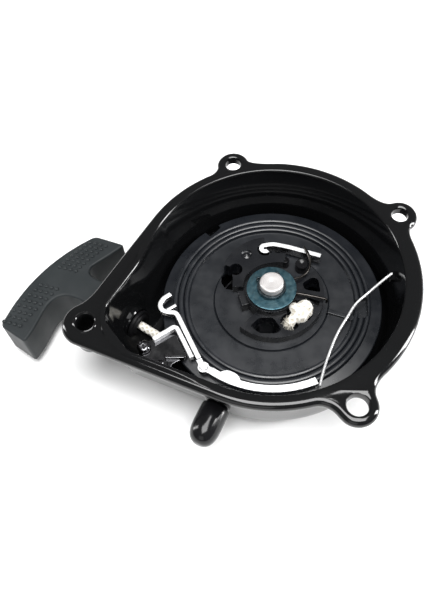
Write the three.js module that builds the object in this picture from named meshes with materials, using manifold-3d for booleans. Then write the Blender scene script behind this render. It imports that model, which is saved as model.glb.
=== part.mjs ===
// Recoil starter (pull starter) of a small four-stroke engine, open flange side up.
// Millimetres, +Z up. The origin is on the reel's axis, at the flat back face of the case.
import * as THREE from 'three';
import { mergeVertices } from 'three/addons/utils/BufferGeometryUtils.js';
import Module from 'manifold-3d';

// ---------------------------------------------------------------- driving dimensions

const GAP = 0.3;                  // clearance kept between touching pieces

// Case: a stepped bowl with a mounting flange, and a corner that holds the rope outlet.
const CASE_HEIGHT = 46;           // back face to flange face
const BOWL_RADIUS = 57.5;         // inside, at the flange
const FLANGE_WIDTH = 6;           // bowl edge to flange edge
const FLANGE_WIDER = 2;           // more than that on the right side
const FLANGE_THICKNESS = 4.2;
const FLANGE_ROUND = 1.4;         // chamfer round the flange edge
const WALL = 2.5;
const FLOOR = 3;
const DOME_RADIUS = 38.5;         // inside of the recoil spring's chamber
const STEP_HEIGHT = 9.5;          // inside floor of the bowl, round the spring chamber

// Corner of the bowl: three straight walls, each by the direction its outside faces and
// its distance from the axis, with rounded corners between them.
const CORNER_WALLS = [
  { facing: 153.2, reach: 54.4 },
  { facing: 220.5, reach: 71.2 },
  { facing: 251, reach: BOWL_RADIUS },
];
const CORNER_ROUND = 9;

// Ears: centre, radius, bolt hole radius, and how far the ear's root runs along the
// flange to either side, in degrees.
const EAR_THICKNESS = 3.6;
const EARS = [
  { x: -20.8, y: 61.6, radius: 7.8, hole: 3.6, before: 20, after: 11 },
  { x: 57.2, y: 33.6, radius: 8.0, hole: 3.6, before: 13, after: 17 },
  { x: 35.7, y: -59.8, radius: 8.6, hole: 4.5, before: 14, after: 16 },
];
const CORNER_EAR = { x: -79.5, y: -28, radius: 10.4, hole: 3.8, bossRadius: 6.6, bossDepth: 17 };

// Post, reel and rope.
const POST_RADIUS = 5.45;
const POST_TOP = 38;
const REEL_RADIUS = 51.5;
const REEL_BOTTOM = 11.2;
const REEL_WEB_TOP = 21.5;        // flat web between hub and ridges
const RIDGE_TOP = 23.2;
const RIDGE_INNER = 38.4;
const RIDGE_OUTER = 45.8;
const DRUM_RADIUS = 38.5;         // bottom of the rope groove
const GROOVE_LOW = 13;
const GROOVE_HIGH = 19.4;
const HUB_DISC_RADIUS = 26.7;
const HUB_DISC_TOP = 22.4;
const HUB_TOP = 27.5;             // top of the pawl boss and of the fan
const FAN_RADIUS = 23.4;
const COLLAR_RADIUS = 11.9;
const COLLAR_LOW = 28.4;          // floor inside the collar, under the friction spring
const COLLAR_TOP = 31.2;
const BUSHING_RADIUS = 6.9;
const WASHER_LOW = 31.6;
const SNAP_RING_LOW = 33;
const SNAP_RING_HIGH = 34.8;

const ROPE_RADIUS = 2;
const ROPE_WRAP_RADIUS = 42;      // centre line of the turn that leaves the reel
const ROPE_DIRECTION = 150;       // degrees from +X, in plan
const ROPE_HEIGHT = 15.4;
const ROPE_COIL_RADIUS = 44.2;
const GUIDE_RADIUS = 5.4;         // sleeve where it passes through the wall
const OUTLET = 52.6;              // distance from the tangent point to the corner wall

// Grip: a T-handle drawn up against the outlet.
const GRIP_START = 56.6;          // neck end, measured as OUTLET is
const GRIP_LENGTH = 44;           // neck end to the middle of the crossbar's outer edge
const GRIP_THICKNESS = 21;

// The rope's inner end: a knot in the reel's pocket, and the way out to the drum.
const KNOT = [13.3, -8.7];
const KNOT_LOBE = [8.9, -14.4];
const LEAD_HOLE = [14.4, -9.6];
const LEAD_DIRECTION = -25;       // degrees from +X
const LEAD_HEIGHT = 16.2;

// Pawl and its friction spring.
const PAWL_PIVOT = [-3.8, 24.6];
const PAWL_CURL = 3;              // outer radius of the curl
const PAWL_WIDTH = 2.5;
const PAWL_LOW = 23.6;
const PAWL_HIGH = 28.3;
const SPRING_WIRE = 0.6;          // radius
const SPRING_WIRE_HEIGHT = 29.6;

// Start interlock beside the reel.
const BRACKET_SCREWS = [[-56.6, -28.8], [-47.4, -38]];
const BRACKET_LOW = 22.4;
const BRACKET_HIGH = 24;
const STRIP_WIDTH = 2.5;
const STRIP_LOW = 23.9;
const STRIP_HIGH = 26.6;
const LEVER_RADIUS = 46.9;        // centre line of the lever's arc
const LEVER_PIN = [-28.6, -38.2];
const LEVER_PIN_RADIUS = 0.9;
const LEVER_EYE_LOW = 23.6;
const LEVER_EYE_HIGH = 24.9;
const LEVER_FROM = -122.5;
const LEVER_TO = -63.5;
const RETURN_WIRE = 0.6;          // radius
const WIRE_ANCHOR_HEIGHT = 34.2;   // centre of the return wire over its tab

// Cable inlet and its boot.
const INLET_DIRECTION = -111;
const INLET_HEIGHT = 26;

// ---------------------------------------------------------------- solids and shapes

const wasm = await Module();
wasm.setup();

const radians = (degrees) => degrees * Math.PI / 180;
const polar = (radius, degrees) => [
  radius * Math.cos(radians(degrees)),
  radius * Math.sin(radians(degrees)),
];

function toSolid(geometry) {
  const bare = geometry.clone();
  bare.deleteAttribute('normal');
  bare.deleteAttribute('uv');
  const merged = mergeVertices(bare, 1e-5);
  const numProp = 3;
  const vertProperties = new Float32Array(merged.attributes.position.array);
  const triVerts = new Uint32Array(merged.index.array);
  const solid = new wasm.Manifold(new wasm.Mesh({ numProp, vertProperties, triVerts }));
  if (solid.volume() > 0) return solid;
  const turned = triVerts.slice();
  for (let i = 0; i < turned.length; i += 3) {
    turned[i] = triVerts[i + 1];
    turned[i + 1] = triVerts[i];
  }
  return new wasm.Manifold(new wasm.Mesh({ numProp, vertProperties, triVerts: turned }));
}

function toGeometry(solid) {
  const mesh = solid.getMesh();
  const geometry = new THREE.BufferGeometry();
  geometry.setAttribute('position', new THREE.BufferAttribute(mesh.vertProperties, 3));
  geometry.setIndex(new THREE.BufferAttribute(mesh.triVerts, 1));
  geometry.computeVertexNormals();
  return geometry;
}

const join = (...solids) => solids.reduce((a, b) => a.add(b));
const cut = (solid, ...tools) => tools.reduce((a, b) => a.subtract(b), solid);

// A shape's outline as plain corners, without repeated points.
function cornersOnly(shape, divisions) {
  const kept = [];
  for (const point of shape.getPoints(divisions)) {
    const last = kept[kept.length - 1];
    if (!last || last.distanceTo(point) > 0.01) kept.push(point);
  }
  if (kept[0].distanceTo(kept[kept.length - 1]) < 0.01) kept.pop();
  return new THREE.Shape(kept);
}

// A shape in plan, raised from one height to another.
function raise(shape, low, high, divisions = 12) {
  const options = { depth: high - low, bevelEnabled: false, curveSegments: 1 };
  const geometry = new THREE.ExtrudeGeometry(cornersOnly(shape, divisions), options);
  return toSolid(geometry.translate(0, 0, low));
}

// A body of revolution about +Z, from [radius, height] points.
function turn(profile, segments = 48) {
  const points = profile.map(([r, z]) => new THREE.Vector2(r, z));
  if (profile[0][0] > 0) points.push(points[0].clone());
  return toSolid(new THREE.LatheGeometry(points, segments).rotateX(Math.PI / 2));
}

function disc(radius, low, high, x = 0, y = 0, segments = 32) {
  return turn([[0, low], [radius, low], [radius, high], [0, high]], segments).translate([x, y, 0]);
}

function ring(inner, outer, low, high, segments = 48) {
  return turn([[inner, low], [outer, low], [outer, high], [inner, high]], segments);
}

function polygon(points) {
  return new THREE.Shape(points.map(([x, y]) => new THREE.Vector2(x, y)));
}

// Points along an arc, no further apart than a step in degrees.
function arcPoints(x, y, radius, from, to, step) {
  const count = Math.ceil(Math.abs(to - from) / step);
  return Array.from({ length: count + 1 }, (_, i) => {
    const [dx, dy] = polar(radius, from + (to - from) * i / count);
    return [x + dx, y + dy];
  });
}

// A piece of a ring between two angles.
function sectorShape(inner, outer, from, to) {
  const shape = new THREE.Shape();
  shape.absarc(0, 0, outer, radians(from), radians(to), false);
  shape.absarc(0, 0, inner, radians(to), radians(from), true);
  return shape;
}

function rounded(points, radius) {
  const corners = points.map(([x, y]) => new THREE.Vector2(x, y));
  const shape = new THREE.Shape();
  corners.forEach((corner, i) => {
    const before = corners[(i + corners.length - 1) % corners.length];
    const after = corners[(i + 1) % corners.length];
    const start = corner.clone().add(before.clone().sub(corner).setLength(radius));
    const end = corner.clone().add(after.clone().sub(corner).setLength(radius));
    if (i === 0) shape.moveTo(start.x, start.y);
    else shape.lineTo(start.x, start.y);
    shape.quadraticCurveTo(corner.x, corner.y, end.x, end.y);
  });
  shape.closePath();
  return shape;
}

// The outline of a strip of constant width that follows a path in plan.
function strip(points, width, divisions = 0) {
  const path = points.map(([x, y]) => new THREE.Vector2(x, y));
  const line = divisions ? new THREE.SplineCurve(path).getPoints(divisions) : path;
  const side = line.map((point, i) => {
    const ahead = line[Math.min(i + 1, line.length - 1)].clone().sub(point);
    const behind = point.clone().sub(line[Math.max(i - 1, 0)]);
    const forward = (ahead.length() ? ahead : behind).clone().normalize();
    const back = (behind.length() ? behind : ahead).clone().normalize();
    const middle = forward.clone().add(back).normalize();
    const reach = width / 2 / Math.max(middle.dot(forward), 0.5);
    return new THREE.Vector2(-middle.y, middle.x).multiplyScalar(reach);
  });
  const left = line.map((point, i) => point.clone().add(side[i]));
  const right = line.map((point, i) => point.clone().sub(side[i]));
  return new THREE.Shape([...left, ...right.reverse()]);
}

// A round bar along a list of points in space.
function bar(points, radius, sides, steps, straight = false) {
  const places = points.map(([x, y, z]) => new THREE.Vector3(x, y, z));
  let path = new THREE.CatmullRomCurve3(places, false, 'centripetal');
  if (straight) path = new THREE.LineCurve3(places[0], places[places.length - 1]);
  const section = new THREE.Shape();
  section.absarc(0, 0, radius, 0, 2 * Math.PI, false);
  const options = { steps, extrudePath: path, curveSegments: sides, bevelEnabled: false };
  return toSolid(new THREE.ExtrudeGeometry(section, options));
}

// A body of revolution laid along a horizontal direction, from [radius, distance] points.
function turnAlong(profile, degrees, origin, segments = 24) {
  return turn(profile, segments).rotate([0, 90, 0]).rotate([0, 0, degrees]).translate(origin);
}

// ---------------------------------------------------------------- the rope's line

const ropeAlong = polar(1, ROPE_DIRECTION);
const ropeAcross = [-ropeAlong[1], ropeAlong[0]];
const ropeStart = [ropeAcross[0] * ROPE_WRAP_RADIUS, ropeAcross[1] * ROPE_WRAP_RADIUS];

// A place beside the rope's line: distance from the tangent point, and sideways.
function ropePlace(along, across = 0) {
  return [
    ropeStart[0] + ropeAlong[0] * along - ropeAcross[0] * across,
    ropeStart[1] + ropeAlong[1] * along - ropeAcross[1] * across,
  ];
}

// ---------------------------------------------------------------- case

// Where two walls of the corner meet, seen from inside by a circle that touches both.
function cornerCentre(first, second) {
  const [ax, ay] = polar(1, first.facing);
  const [bx, by] = polar(1, second.facing);
  const a = first.reach - CORNER_ROUND;
  const b = second.reach - CORNER_ROUND;
  const scale = ax * by - ay * bx;
  return [(a * by - b * ay) / scale, (ax * b - bx * a) / scale];
}

// The bowl's outline in plan: corner walls moved outwards by an offset, round part at a radius.
function bowlOutline(offset, radius) {
  const [first, second, third] = CORNER_WALLS;
  const away = Math.acos((first.reach + offset) / (BOWL_RADIUS + offset)) * 180 / Math.PI;
  const points = arcPoints(0, 0, radius, third.facing - 360, first.facing + away, 6);
  for (const [one, two] of [[first, second], [second, third]]) {
    const corner = cornerCentre(one, two);
    const round = Math.max(CORNER_ROUND + offset, 0.6);
    points.push(...arcPoints(...corner, round, one.facing, two.facing, 14));
  }
  return polygon(points);
}

// An ear that grows out of the round flange with hollow sides.
function earShape({ x, y, radius, before, after }) {
  const reach = Math.hypot(x, y);
  const facing = Math.atan2(y, x) * 180 / Math.PI;
  const root = BOWL_RADIUS + FLANGE_WIDTH - 0.4;
  const from = polar(root, facing - before);
  const to = polar(root, facing + after);
  const neckFrom = polar(root + 0.6, facing - 8.5);
  const neckTo = polar(root + 0.6, facing + 8.5);
  const sideFrom = polar(reach + 1, facing - Math.asin(radius / reach) * 180 / Math.PI);
  const sideTo = polar(reach + 1, facing + Math.asin(radius / reach) * 180 / Math.PI);
  const inside = polar(BOWL_RADIUS - 5, facing);
  const shape = new THREE.Shape();
  shape.moveTo(...inside);
  shape.lineTo(...from);
  shape.quadraticCurveTo(...neckFrom, ...sideFrom);
  shape.absarc(x, y, radius, radians(facing - 78), radians(facing + 78), false);
  shape.quadraticCurveTo(...neckTo, ...to);
  shape.closePath();
  return shape;
}

// The flange's edge: round, wider on the right, with straight sides that run to the corner ear.
function flangeOutline() {
  const { x, y, radius } = CORNER_EAR;
  const near = -109.5;
  const far = 153;
  const points = [];
  for (let at = near; at <= far; at += 3.75) {
    const wider = THREE.MathUtils.smoothstep(at, -66, -52) - THREE.MathUtils.smoothstep(at, 22, 36);
    points.push(polar(BOWL_RADIUS + FLANGE_WIDTH + FLANGE_WIDER * wider, at));
  }
  const hollow = new THREE.QuadraticBezierCurve(
    new THREE.Vector2(-77, -9.8),
    new THREE.Vector2(-80.4, -16.8),
    new THREE.Vector2(...arcPoints(x, y, radius, 124, 124, 1)[0]),
  );
  points.push(...hollow.getPoints(5).map((point) => [point.x, point.y]));
  points.push(...arcPoints(x, y, radius, 134, 360 + near, 10));
  return polygon(points);
}

// A plate with its edge chamfered above and below.
function flangePlate(shape, low, high, chamfer, divisions = 12) {
  const geometry = new THREE.ExtrudeGeometry(cornersOnly(shape, divisions), {
    depth: high - low - 2 * chamfer,
    bevelThickness: chamfer,
    bevelSize: chamfer,
    bevelOffset: -chamfer,
    bevelSegments: 1,
    curveSegments: 1,
  });
  return toSolid(geometry.translate(0, 0, low + chamfer));
}

function bowlOutside() {
  const rim = CASE_HEIGHT - 1.5;
  return turn([
    [0, 0], [DOME_RADIUS + 0.8, 0], [DOME_RADIUS + WALL, 1.6], [DOME_RADIUS + WALL, 5.2],
    [51, 6.8], [54.4, 9.6], [56.4, 14], [BOWL_RADIUS + WALL, rim], [0, rim],
  ], 60);
}

function bowlInside() {
  const top = CASE_HEIGHT + 1;
  return turn([
    [0, FLOOR], [DOME_RADIUS - 1.5, FLOOR], [DOME_RADIUS, FLOOR + 1.5],
    [DOME_RADIUS, STEP_HEIGHT], [51.6, STEP_HEIGHT], [53.5, 11.4], [54.2, 14],
    [BOWL_RADIUS - 0.3, CASE_HEIGHT - 1.6], [BOWL_RADIUS + 0.8, top], [0, top],
  ], 60);
}

// The corner's walls draw in towards its floor: slabs by [low, high, offset from the wall].
const CORNER_OUTSIDE = [
  [STEP_HEIGHT - WALL, 10.5, WALL - 6.7],
  [10.5, 14.5, WALL - 3.3],
  [14.5, 19, WALL - 1.2],
  [19, CASE_HEIGHT - 1.5, WALL],
];
const CORNER_INSIDE = [
  [STEP_HEIGHT, 12.5, -6.5],
  [12.5, 17, -3.3],
  [17, 21.5, -1.2],
  [21.5, CASE_HEIGHT + 1, 0],
];

function cornerStack(slabs, radius) {
  return join(...slabs.map(([low, high, offset]) => raise(bowlOutline(offset, radius), low, high)));
}

function caseShell() {
  const top = CASE_HEIGHT;
  const eyeDepth = FLANGE_THICKNESS + 2;
  let solid = join(
    bowlOutside(),
    cornerStack(CORNER_OUTSIDE, BOWL_RADIUS - 3),
    flangePlate(flangeOutline(), top - FLANGE_THICKNESS, top, FLANGE_ROUND),
    disc(CORNER_EAR.bossRadius, top - CORNER_EAR.bossDepth, top - 1, CORNER_EAR.x, CORNER_EAR.y),
    inletBoss(),
    flangeFin(),
  );
  for (const ear of EARS) {
    solid = join(solid, raise(earShape(ear), top - EAR_THICKNESS, top, 8));
  }
  solid = cut(solid, bowlInside(), cornerStack(CORNER_INSIDE, BOWL_RADIUS - 5));
  solid = join(solid, postBoss(), anchorTab(), bracketPads(), guideSeat());
  for (const ear of EARS) {
    solid = cut(solid, boltHole(ear.x, ear.y, ear.hole, eyeDepth));
  }
  return cut(
    solid,
    boltHole(CORNER_EAR.x, CORNER_EAR.y, CORNER_EAR.hole, CORNER_EAR.bossDepth + 1),
    guideBore(),
    turnAlong([[0, 50], [1.8, 50], [1.8, 80], [0, 80]], INLET_DIRECTION, [0, 0, INLET_HEIGHT], 16),
  );
}

// A bolt hole with a chamfered mouth.
function boltHole(x, y, radius, depth) {
  const top = CASE_HEIGHT;
  return turn([
    [0, top - depth], [radius, top - depth], [radius, top - 0.9],
    [radius + 1.3, top + 0.4], [0, top + 0.4],
  ], 24).translate([x, y, 0]);
}

function postBoss() {
  return ring(POST_RADIUS + GAP, 8.8, FLOOR - 0.5, FLOOR + 2.6, 32);
}

// A round boss through the corner wall that holds the rope guide.
function guideSeat() {
  return alongRope([[0, OUTLET - 6], [8.2, OUTLET - 6], [8.2, OUTLET + 3.1], [0, OUTLET + 3.1]]);
}

function guideBore() {
  const radius = GUIDE_RADIUS + GAP;
  return alongRope([
    [0, OUTLET - 14], [7.4, OUTLET - 14], [7.4, OUTLET - 6], [radius, OUTLET - 6],
    [radius, OUTLET + 8], [0, OUTLET + 8],
  ]);
}

// The nipple outside the near wall that a control cable would enter.
function inletBoss() {
  const profile = [[0, 52], [5.6, 52], [5.6, 59.6], [4, 60], [4, 66], [0, 66]];
  return turnAlong(profile, INLET_DIRECTION, [0, 0, INLET_HEIGHT]);
}

// The small pointed rib under the flange, beside the corner ear.
function flangeFin() {
  const side = polygon([[0, 0], [9.5, 0], [6, -7.5], [4.2, -8]]);
  return raise(side, -1.1, 1.1)
    .rotate([90, 0, 0])
    .rotate([0, 0, 152])
    .translate([-52, -47.5, CASE_HEIGHT - FLANGE_THICKNESS + 1.2]);
}

// The tab on the right wall that the lever's return wire hooks into.
function anchorTab() {
  const side = rounded([[53.4, 6.4], [57.9, 6.9], [57.1, 11.6], [53, 10.6]], 0.8);
  const high = WIRE_ANCHOR_HEIGHT - RETURN_WIRE - GAP - 0.5;
  return raise(side, high - 2.4, high);
}

// Two pads in the corner of the bowl that the bracket is screwed to.
function bracketPads() {
  const high = BRACKET_LOW - GAP;
  const pads = BRACKET_SCREWS.map(([x, y]) => disc(3.2, STEP_HEIGHT + 2, high, x, y, 20));
  const holes = BRACKET_SCREWS.map(([x, y]) => disc(1.8, BRACKET_LOW - 6.5, high + 1, x, y, 20));
  return cut(join(...pads), ...holes);
}

// ---------------------------------------------------------------- interlock

// The bracket: a flat foot screwed to the pads, with a strip standing on its inner edge.
function lockBracket() {
  const foot = rounded([[-60.6, -28.6], [-54.6, -24.4], [-50.2, -25], [-42.8, -36], [-45.2, -42.2],
    [-50.4, -41.2]], 2);
  const wall = strip([[-52.6, -25.4], [-45.6, -20.2], [-43.6, -18.6], [-41.9, -19.3],
    [-34.2, -33.6]], 2);
  const legEnd = strip([[-46.4, -33.2], [-35.6, -32.6]], 2.2);
  let solid = join(
    raise(foot, BRACKET_LOW, BRACKET_HIGH),
    raise(wall, STRIP_LOW, STRIP_HIGH),
    raise(polygon([[-54, -26.4], [-51.4, -24.2], [-49.4, -27.2], [-51.8, -29.2]]), BRACKET_LOW, STRIP_HIGH),
    raise(legEnd, BRACKET_LOW, STRIP_HIGH - 1),
  );
  for (const [x, y] of BRACKET_SCREWS) {
    solid = cut(solid, disc(1.9, BRACKET_LOW - 1, BRACKET_HIGH + 1, x, y, 20));
  }
  return solid;
}

function bracketScrew([x, y]) {
  return turn([
    [0, BRACKET_LOW - 6], [1.5, BRACKET_LOW - 6], [1.5, BRACKET_HIGH + GAP],
    [3.1, BRACKET_HIGH + GAP], [3.1, BRACKET_HIGH + 1.4], [2.2, BRACKET_HIGH + 2.3],
    [0, BRACKET_HIGH + 2.3],
  ], 20).translate([x, y, 0]);
}

// The hook strip beside the bracket's wall. Its lower end steps down to an eye under the lever.
function hookStrip() {
  const [x, y] = LEVER_PIN;
  const hook = strip([[-46.8, -1.4], [-50, -4.2], [-51.2, -7.4], [-50, -10.2], [-47, -11.2],
    [-44.2, -11.3]], STRIP_WIDTH, 14);
  const arm = strip([[-44.6, -11.2], [-43.3, -11.7], [-42.3, -13.2], [-30.9, -34]], STRIP_WIDTH);
  const spur = strip([[-48, -10], [-43.8, -7]], 1.6);
  const eye = strip([[-31.4, -33.1], [x, y]], STRIP_WIDTH);
  const solid = join(
    raise(hook, STRIP_LOW, STRIP_HIGH),
    raise(arm, STRIP_LOW, STRIP_HIGH),
    raise(spur, STRIP_LOW, STRIP_HIGH - 0.6),
    raise(eye, LEVER_EYE_LOW, LEVER_EYE_HIGH),
    disc(2.4, LEVER_EYE_LOW, LEVER_EYE_HIGH, x, y, 20),
  );
  return cut(solid, disc(LEVER_PIN_RADIUS + GAP, LEVER_EYE_LOW - 1, LEVER_EYE_HIGH + 1, x, y, 16));
}

// The lever: an eye on the pin, an arc beside the reel, one rounded tooth, and a hooked end.
function lockLever() {
  const [x, y] = LEVER_PIN;
  const arc = sectorShape(LEVER_RADIUS - 1.6, LEVER_RADIUS + 1.6, LEVER_FROM, LEVER_TO);
  const tooth = sectorShape(LEVER_RADIUS - 4, LEVER_RADIUS, -115, -108);
  const toothFoot = sectorShape(LEVER_RADIUS - 2.6, LEVER_RADIUS, -117.5, -105.5);
  const neck = strip([[x, y], polar(LEVER_RADIUS, LEVER_FROM + 1.5)], 3);
  const shapes = [arc, tooth, toothFoot, neck].map((shape) => raise(shape, STRIP_LOW, STRIP_HIGH, 9));
  const solid = join(...shapes, disc(2.5, STRIP_LOW, STRIP_HIGH, x, y, 20));
  return cut(
    solid,
    disc(3.4, STRIP_LOW - 1, LEVER_EYE_HIGH + GAP, x, y, 20),
    disc(LEVER_PIN_RADIUS + GAP, STRIP_LOW - 1, STRIP_HIGH + 1, x, y, 16),
    raise(strip([[-34, -28], [-30.1, -35.4]], STRIP_WIDTH + 1.2), STRIP_LOW - 1, LEVER_EYE_HIGH + GAP),
  );
}

function leverPin() {
  const [x, y] = LEVER_PIN;
  return turn([
    [0, LEVER_EYE_LOW], [LEVER_PIN_RADIUS, LEVER_EYE_LOW], [LEVER_PIN_RADIUS, STRIP_HIGH + GAP],
    [1.7, STRIP_HIGH + GAP], [1.4, STRIP_HIGH + 0.8], [0, STRIP_HIGH + 0.8],
  ], 16).translate([x, y, 0]);
}

// The bent wire that presses the lever's free end towards the reel, and climbs to its tab.
function returnWire() {
  return bar([
    [22.4, -44.1, 25.3], [22.9, -41.5, 25.3], [24.2, -36, 25.5], [26.2, -29.4, 25.8],
    [29.4, -20.6, 26.3], [32.2, -14.8, 26.6], [34.9, -10, 26.9], [37.2, -5.8, 27.2],
    [39.5, -2.7, 27.6], [43, 0.3, 28.8], [46.9, 3.5, 30.6], [51.2, 6.7, 33.1],
    [54.2, 8.9, WIRE_ANCHOR_HEIGHT],
  ], RETURN_WIRE, 4, 22);
}

// ---------------------------------------------------------------- reel

// The reel's own section: lower flange, drum, upper flange with ridges, hub disc and collar.
function reelBlank() {
  return turn([
    [BUSHING_RADIUS + GAP, 6], [11.5, 6], [12, 6.5], [12, REEL_BOTTOM],
    [REEL_RADIUS - 1.8, REEL_BOTTOM], [REEL_RADIUS - 1.2, 11.8], [REEL_RADIUS - 1.2, GROOVE_LOW - 0.2],
    [DRUM_RADIUS, GROOVE_LOW], [DRUM_RADIUS, GROOVE_HIGH], [REEL_RADIUS, GROOVE_HIGH + 0.2],
    [REEL_RADIUS, REEL_WEB_TOP - 0.3], [REEL_RADIUS - 0.4, REEL_WEB_TOP],
    [RIDGE_OUTER, REEL_WEB_TOP], [RIDGE_OUTER - 0.5, RIDGE_TOP],
    [43.9, RIDGE_TOP], [43.5, 22.5], [43.1, RIDGE_TOP],
    [40.3, RIDGE_TOP], [39.9, 22.5], [39.5, RIDGE_TOP],
    [RIDGE_INNER + 0.4, RIDGE_TOP], [RIDGE_INNER, REEL_WEB_TOP],
    [HUB_DISC_RADIUS + 0.4, REEL_WEB_TOP], [HUB_DISC_RADIUS, REEL_WEB_TOP - 0.5],
    [HUB_DISC_RADIUS - 0.5, HUB_DISC_TOP - 0.2], [HUB_DISC_RADIUS - 1, HUB_DISC_TOP],
    [COLLAR_RADIUS, HUB_DISC_TOP], [COLLAR_RADIUS, COLLAR_LOW], [BUSHING_RADIUS + GAP, COLLAR_LOW],
  ], 52);
}

// The raised boss that carries the pawl: a crescent with a pocket at each end.
function pawlBoss() {
  const crescent = polygon([
    [-22.6, 11.2], [-22.9, 14.6], [-21.6, 19], [-18.4, 23.6], [-14.2, 27.4], [-9.6, 30],
    [-6, 31.2], [-3.4, 31.3], [-3.2, 28.6], [6.2, 22.6], [5.2, 17.4], [0.2, 17.2],
    [-5.2, 15.6], [-9.6, 12.4], [-12.4, 8.6], [-13.4, 3.2], [-18, 2.8], [-18.4, 8.6],
  ]);
  const [px, py] = PAWL_PIVOT;
  const armSlot = polygon([[-4.4, 33], [9, 33], [9, 22.4], [1.4, 22.7], [0.2, 23.8], [-4.2, 24.4]]);
  const emptySlot = polygon([[-18.6, 9.6], [-18.6, 2], [-26, 2], [-26, 13.4], [-18, 13.4]]);
  return cut(
    raise(crescent, HUB_DISC_TOP - 0.5, HUB_TOP),
    disc(PAWL_CURL + 0.7, HUB_DISC_TOP + 0.4, HUB_TOP + 1, px, py, 24),
    raise(armSlot, HUB_DISC_TOP + 0.4, HUB_TOP + 1),
    disc(3.2, HUB_DISC_TOP - 1, HUB_TOP + 1, -17.2, 12.6, 24),
    raise(emptySlot, HUB_DISC_TOP - 1, HUB_TOP + 1),
    ring(1.4, 2.3, HUB_TOP - 0.8, HUB_TOP + 1, 20).translate([-12.6, 21.4, 0]),
  );
}

// The fan: the raised part of the hub that holds the rope's knot, with two through windows.
function hubFan() {
  const outline = new THREE.Shape();
  outline.absarc(0.8, 0.6, FAN_RADIUS, radians(-128), radians(24), false);
  outline.lineTo(20.4, 13.6);
  outline.lineTo(11.4, 7.6);
  outline.absarc(0, 0, 11, radians(30), radians(-122), true);
  outline.closePath();
  return raise(outline, HUB_DISC_TOP - 0.5, HUB_TOP, 12);
}

function hubWindows() {
  const low = GROOVE_HIGH - 12;
  const high = HUB_TOP + 1;
  const lower = rounded([[-5, -12.9], [1.2, -12.6], [5.4, -18.3], [3, -20.6], [-4.6, -20.8], [-9, -17.2]], 1);
  const right = rounded([[14.2, 6.2], [19, 9.8], [21.6, 8.6], [22.6, 1.6], [15.2, 2.9]], 1);
  const small = rounded([[16, -1.2], [22.4, -3.2], [21.4, -6.2], [19.2, -4]], 0.8);
  return join(
    raise(lower, low, high, 3),
    raise(right, low, high, 3),
    raise(small, HUB_DISC_TOP + 0.6, high, 3),
  );
}

function knotPocket() {
  const low = GROOVE_HIGH + 0.6;
  const high = COLLAR_TOP + 1;
  return join(
    disc(5.9, low, high, ...KNOT, 28),
    disc(4.4, low, high, ...KNOT_LOBE, 24),
    disc(ROPE_RADIUS + 0.9, low - 2, low + 1, ...LEAD_HOLE, 20),
  );
}

// Posts that the pawl's arm rests against.
function pawlRests() {
  return join(
    disc(3.1, HUB_DISC_TOP - 0.5, HUB_TOP - 0.4, 13.9, 17.4, 24),
    disc(2, HUB_DISC_TOP - 0.5, HUB_TOP - 0.4, 5.9, 19.2, 20),
  );
}

// The collar round the bushing: open on the side where the friction spring's arms come out.
function hubCollar() {
  const wall = sectorShape(10.9, COLLAR_RADIUS, 150, 338);
  const lug = polygon([[-15.6, 0.4], [-11.2, 1], [-9.6, -6], [-13.2, -7.4]]);
  return join(
    raise(wall, COLLAR_LOW - 0.5, COLLAR_TOP, 12),
    raise(lug, HUB_DISC_TOP - 0.5, HUB_TOP + 0.6),
  );
}

function reel() {
  const low = REEL_BOTTOM - 1;
  const ropeNotch = rounded([[-37.5, 41.5], [-31.6, 47.2], [-26.4, 41.4], [-31.4, 35.4]], 1);
  const ridgePocket = rounded([[38.6, 0.6], [44.4, 2.2], [44.6, -7.4], [40.4, -9.2]], 1);
  const rib = strip([[26.6, -5.4], [38.6, -8.8]], 1.8);
  const solid = cut(
    join(reelBlank(), pawlBoss(), hubFan(), pawlRests(), hubCollar(),
      raise(rib, REEL_WEB_TOP - 0.4, REEL_WEB_TOP + 0.9),
      disc(1.5, REEL_WEB_TOP - 0.4, RIDGE_TOP - 0.2, 37, -8.4, 16)),
    ring(14, DRUM_RADIUS - 2, low, GROOVE_HIGH - 0.4),
    raise(ropeNotch, GROOVE_HIGH - 1, RIDGE_TOP + 1),
    raise(ridgePocket, REEL_WEB_TOP - 0.8, RIDGE_TOP + 1),
    hubWindows(),
    knotPocket(),
    ropeLeadHole(),
  );
  return solid;
}

function bushing() {
  return ring(POST_RADIUS + GAP, BUSHING_RADIUS, 6.2, COLLAR_LOW - 0.2, 32);
}

// ---------------------------------------------------------------- pawl and friction spring

// A J-shaped strip on edge: curled round its pivot, with a straight arm to the tip.
function pawl() {
  const [x, y] = PAWL_PIVOT;
  const curl = sectorShape(PAWL_CURL - PAWL_WIDTH, PAWL_CURL, 78, 318);
  const arm = strip([[-3.4, 26.9], [0.6, 27], [8, 25.6], [22.6, 21.3]], PAWL_WIDTH);
  return join(
    raise(curl, PAWL_LOW, PAWL_HIGH, 16).translate([x, y, 0]),
    raise(arm, PAWL_LOW, PAWL_HIGH),
  );
}

// A coil round the post under the washer, with a straight arm and an arm that reaches over the pawl.
function frictionSpring() {
  const h = SPRING_WIRE_HEIGHT;
  const hook = [
    polar(9.6, 40), polar(11.6, 36), [11.9, 8.2], [14.8, 9.4], [16.9, 12.6], [17.6, 16.2],
    [17.4, 20.4], [14.6, 25.4],
  ].map(([x, y]) => [x, y, h]);
  const arm = [polar(9, -2), [25.6, -3.2]].map(([x, y]) => [x, y, h]);
  return join(
    ring(8.9, 10.3, h - SPRING_WIRE, COLLAR_TOP - GAP, 32),
    bar(hook, SPRING_WIRE, 4, 14),
    bar(arm, SPRING_WIRE, 4, 1, true),
  );
}

// ---------------------------------------------------------------- post, washer, ring, spring

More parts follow.
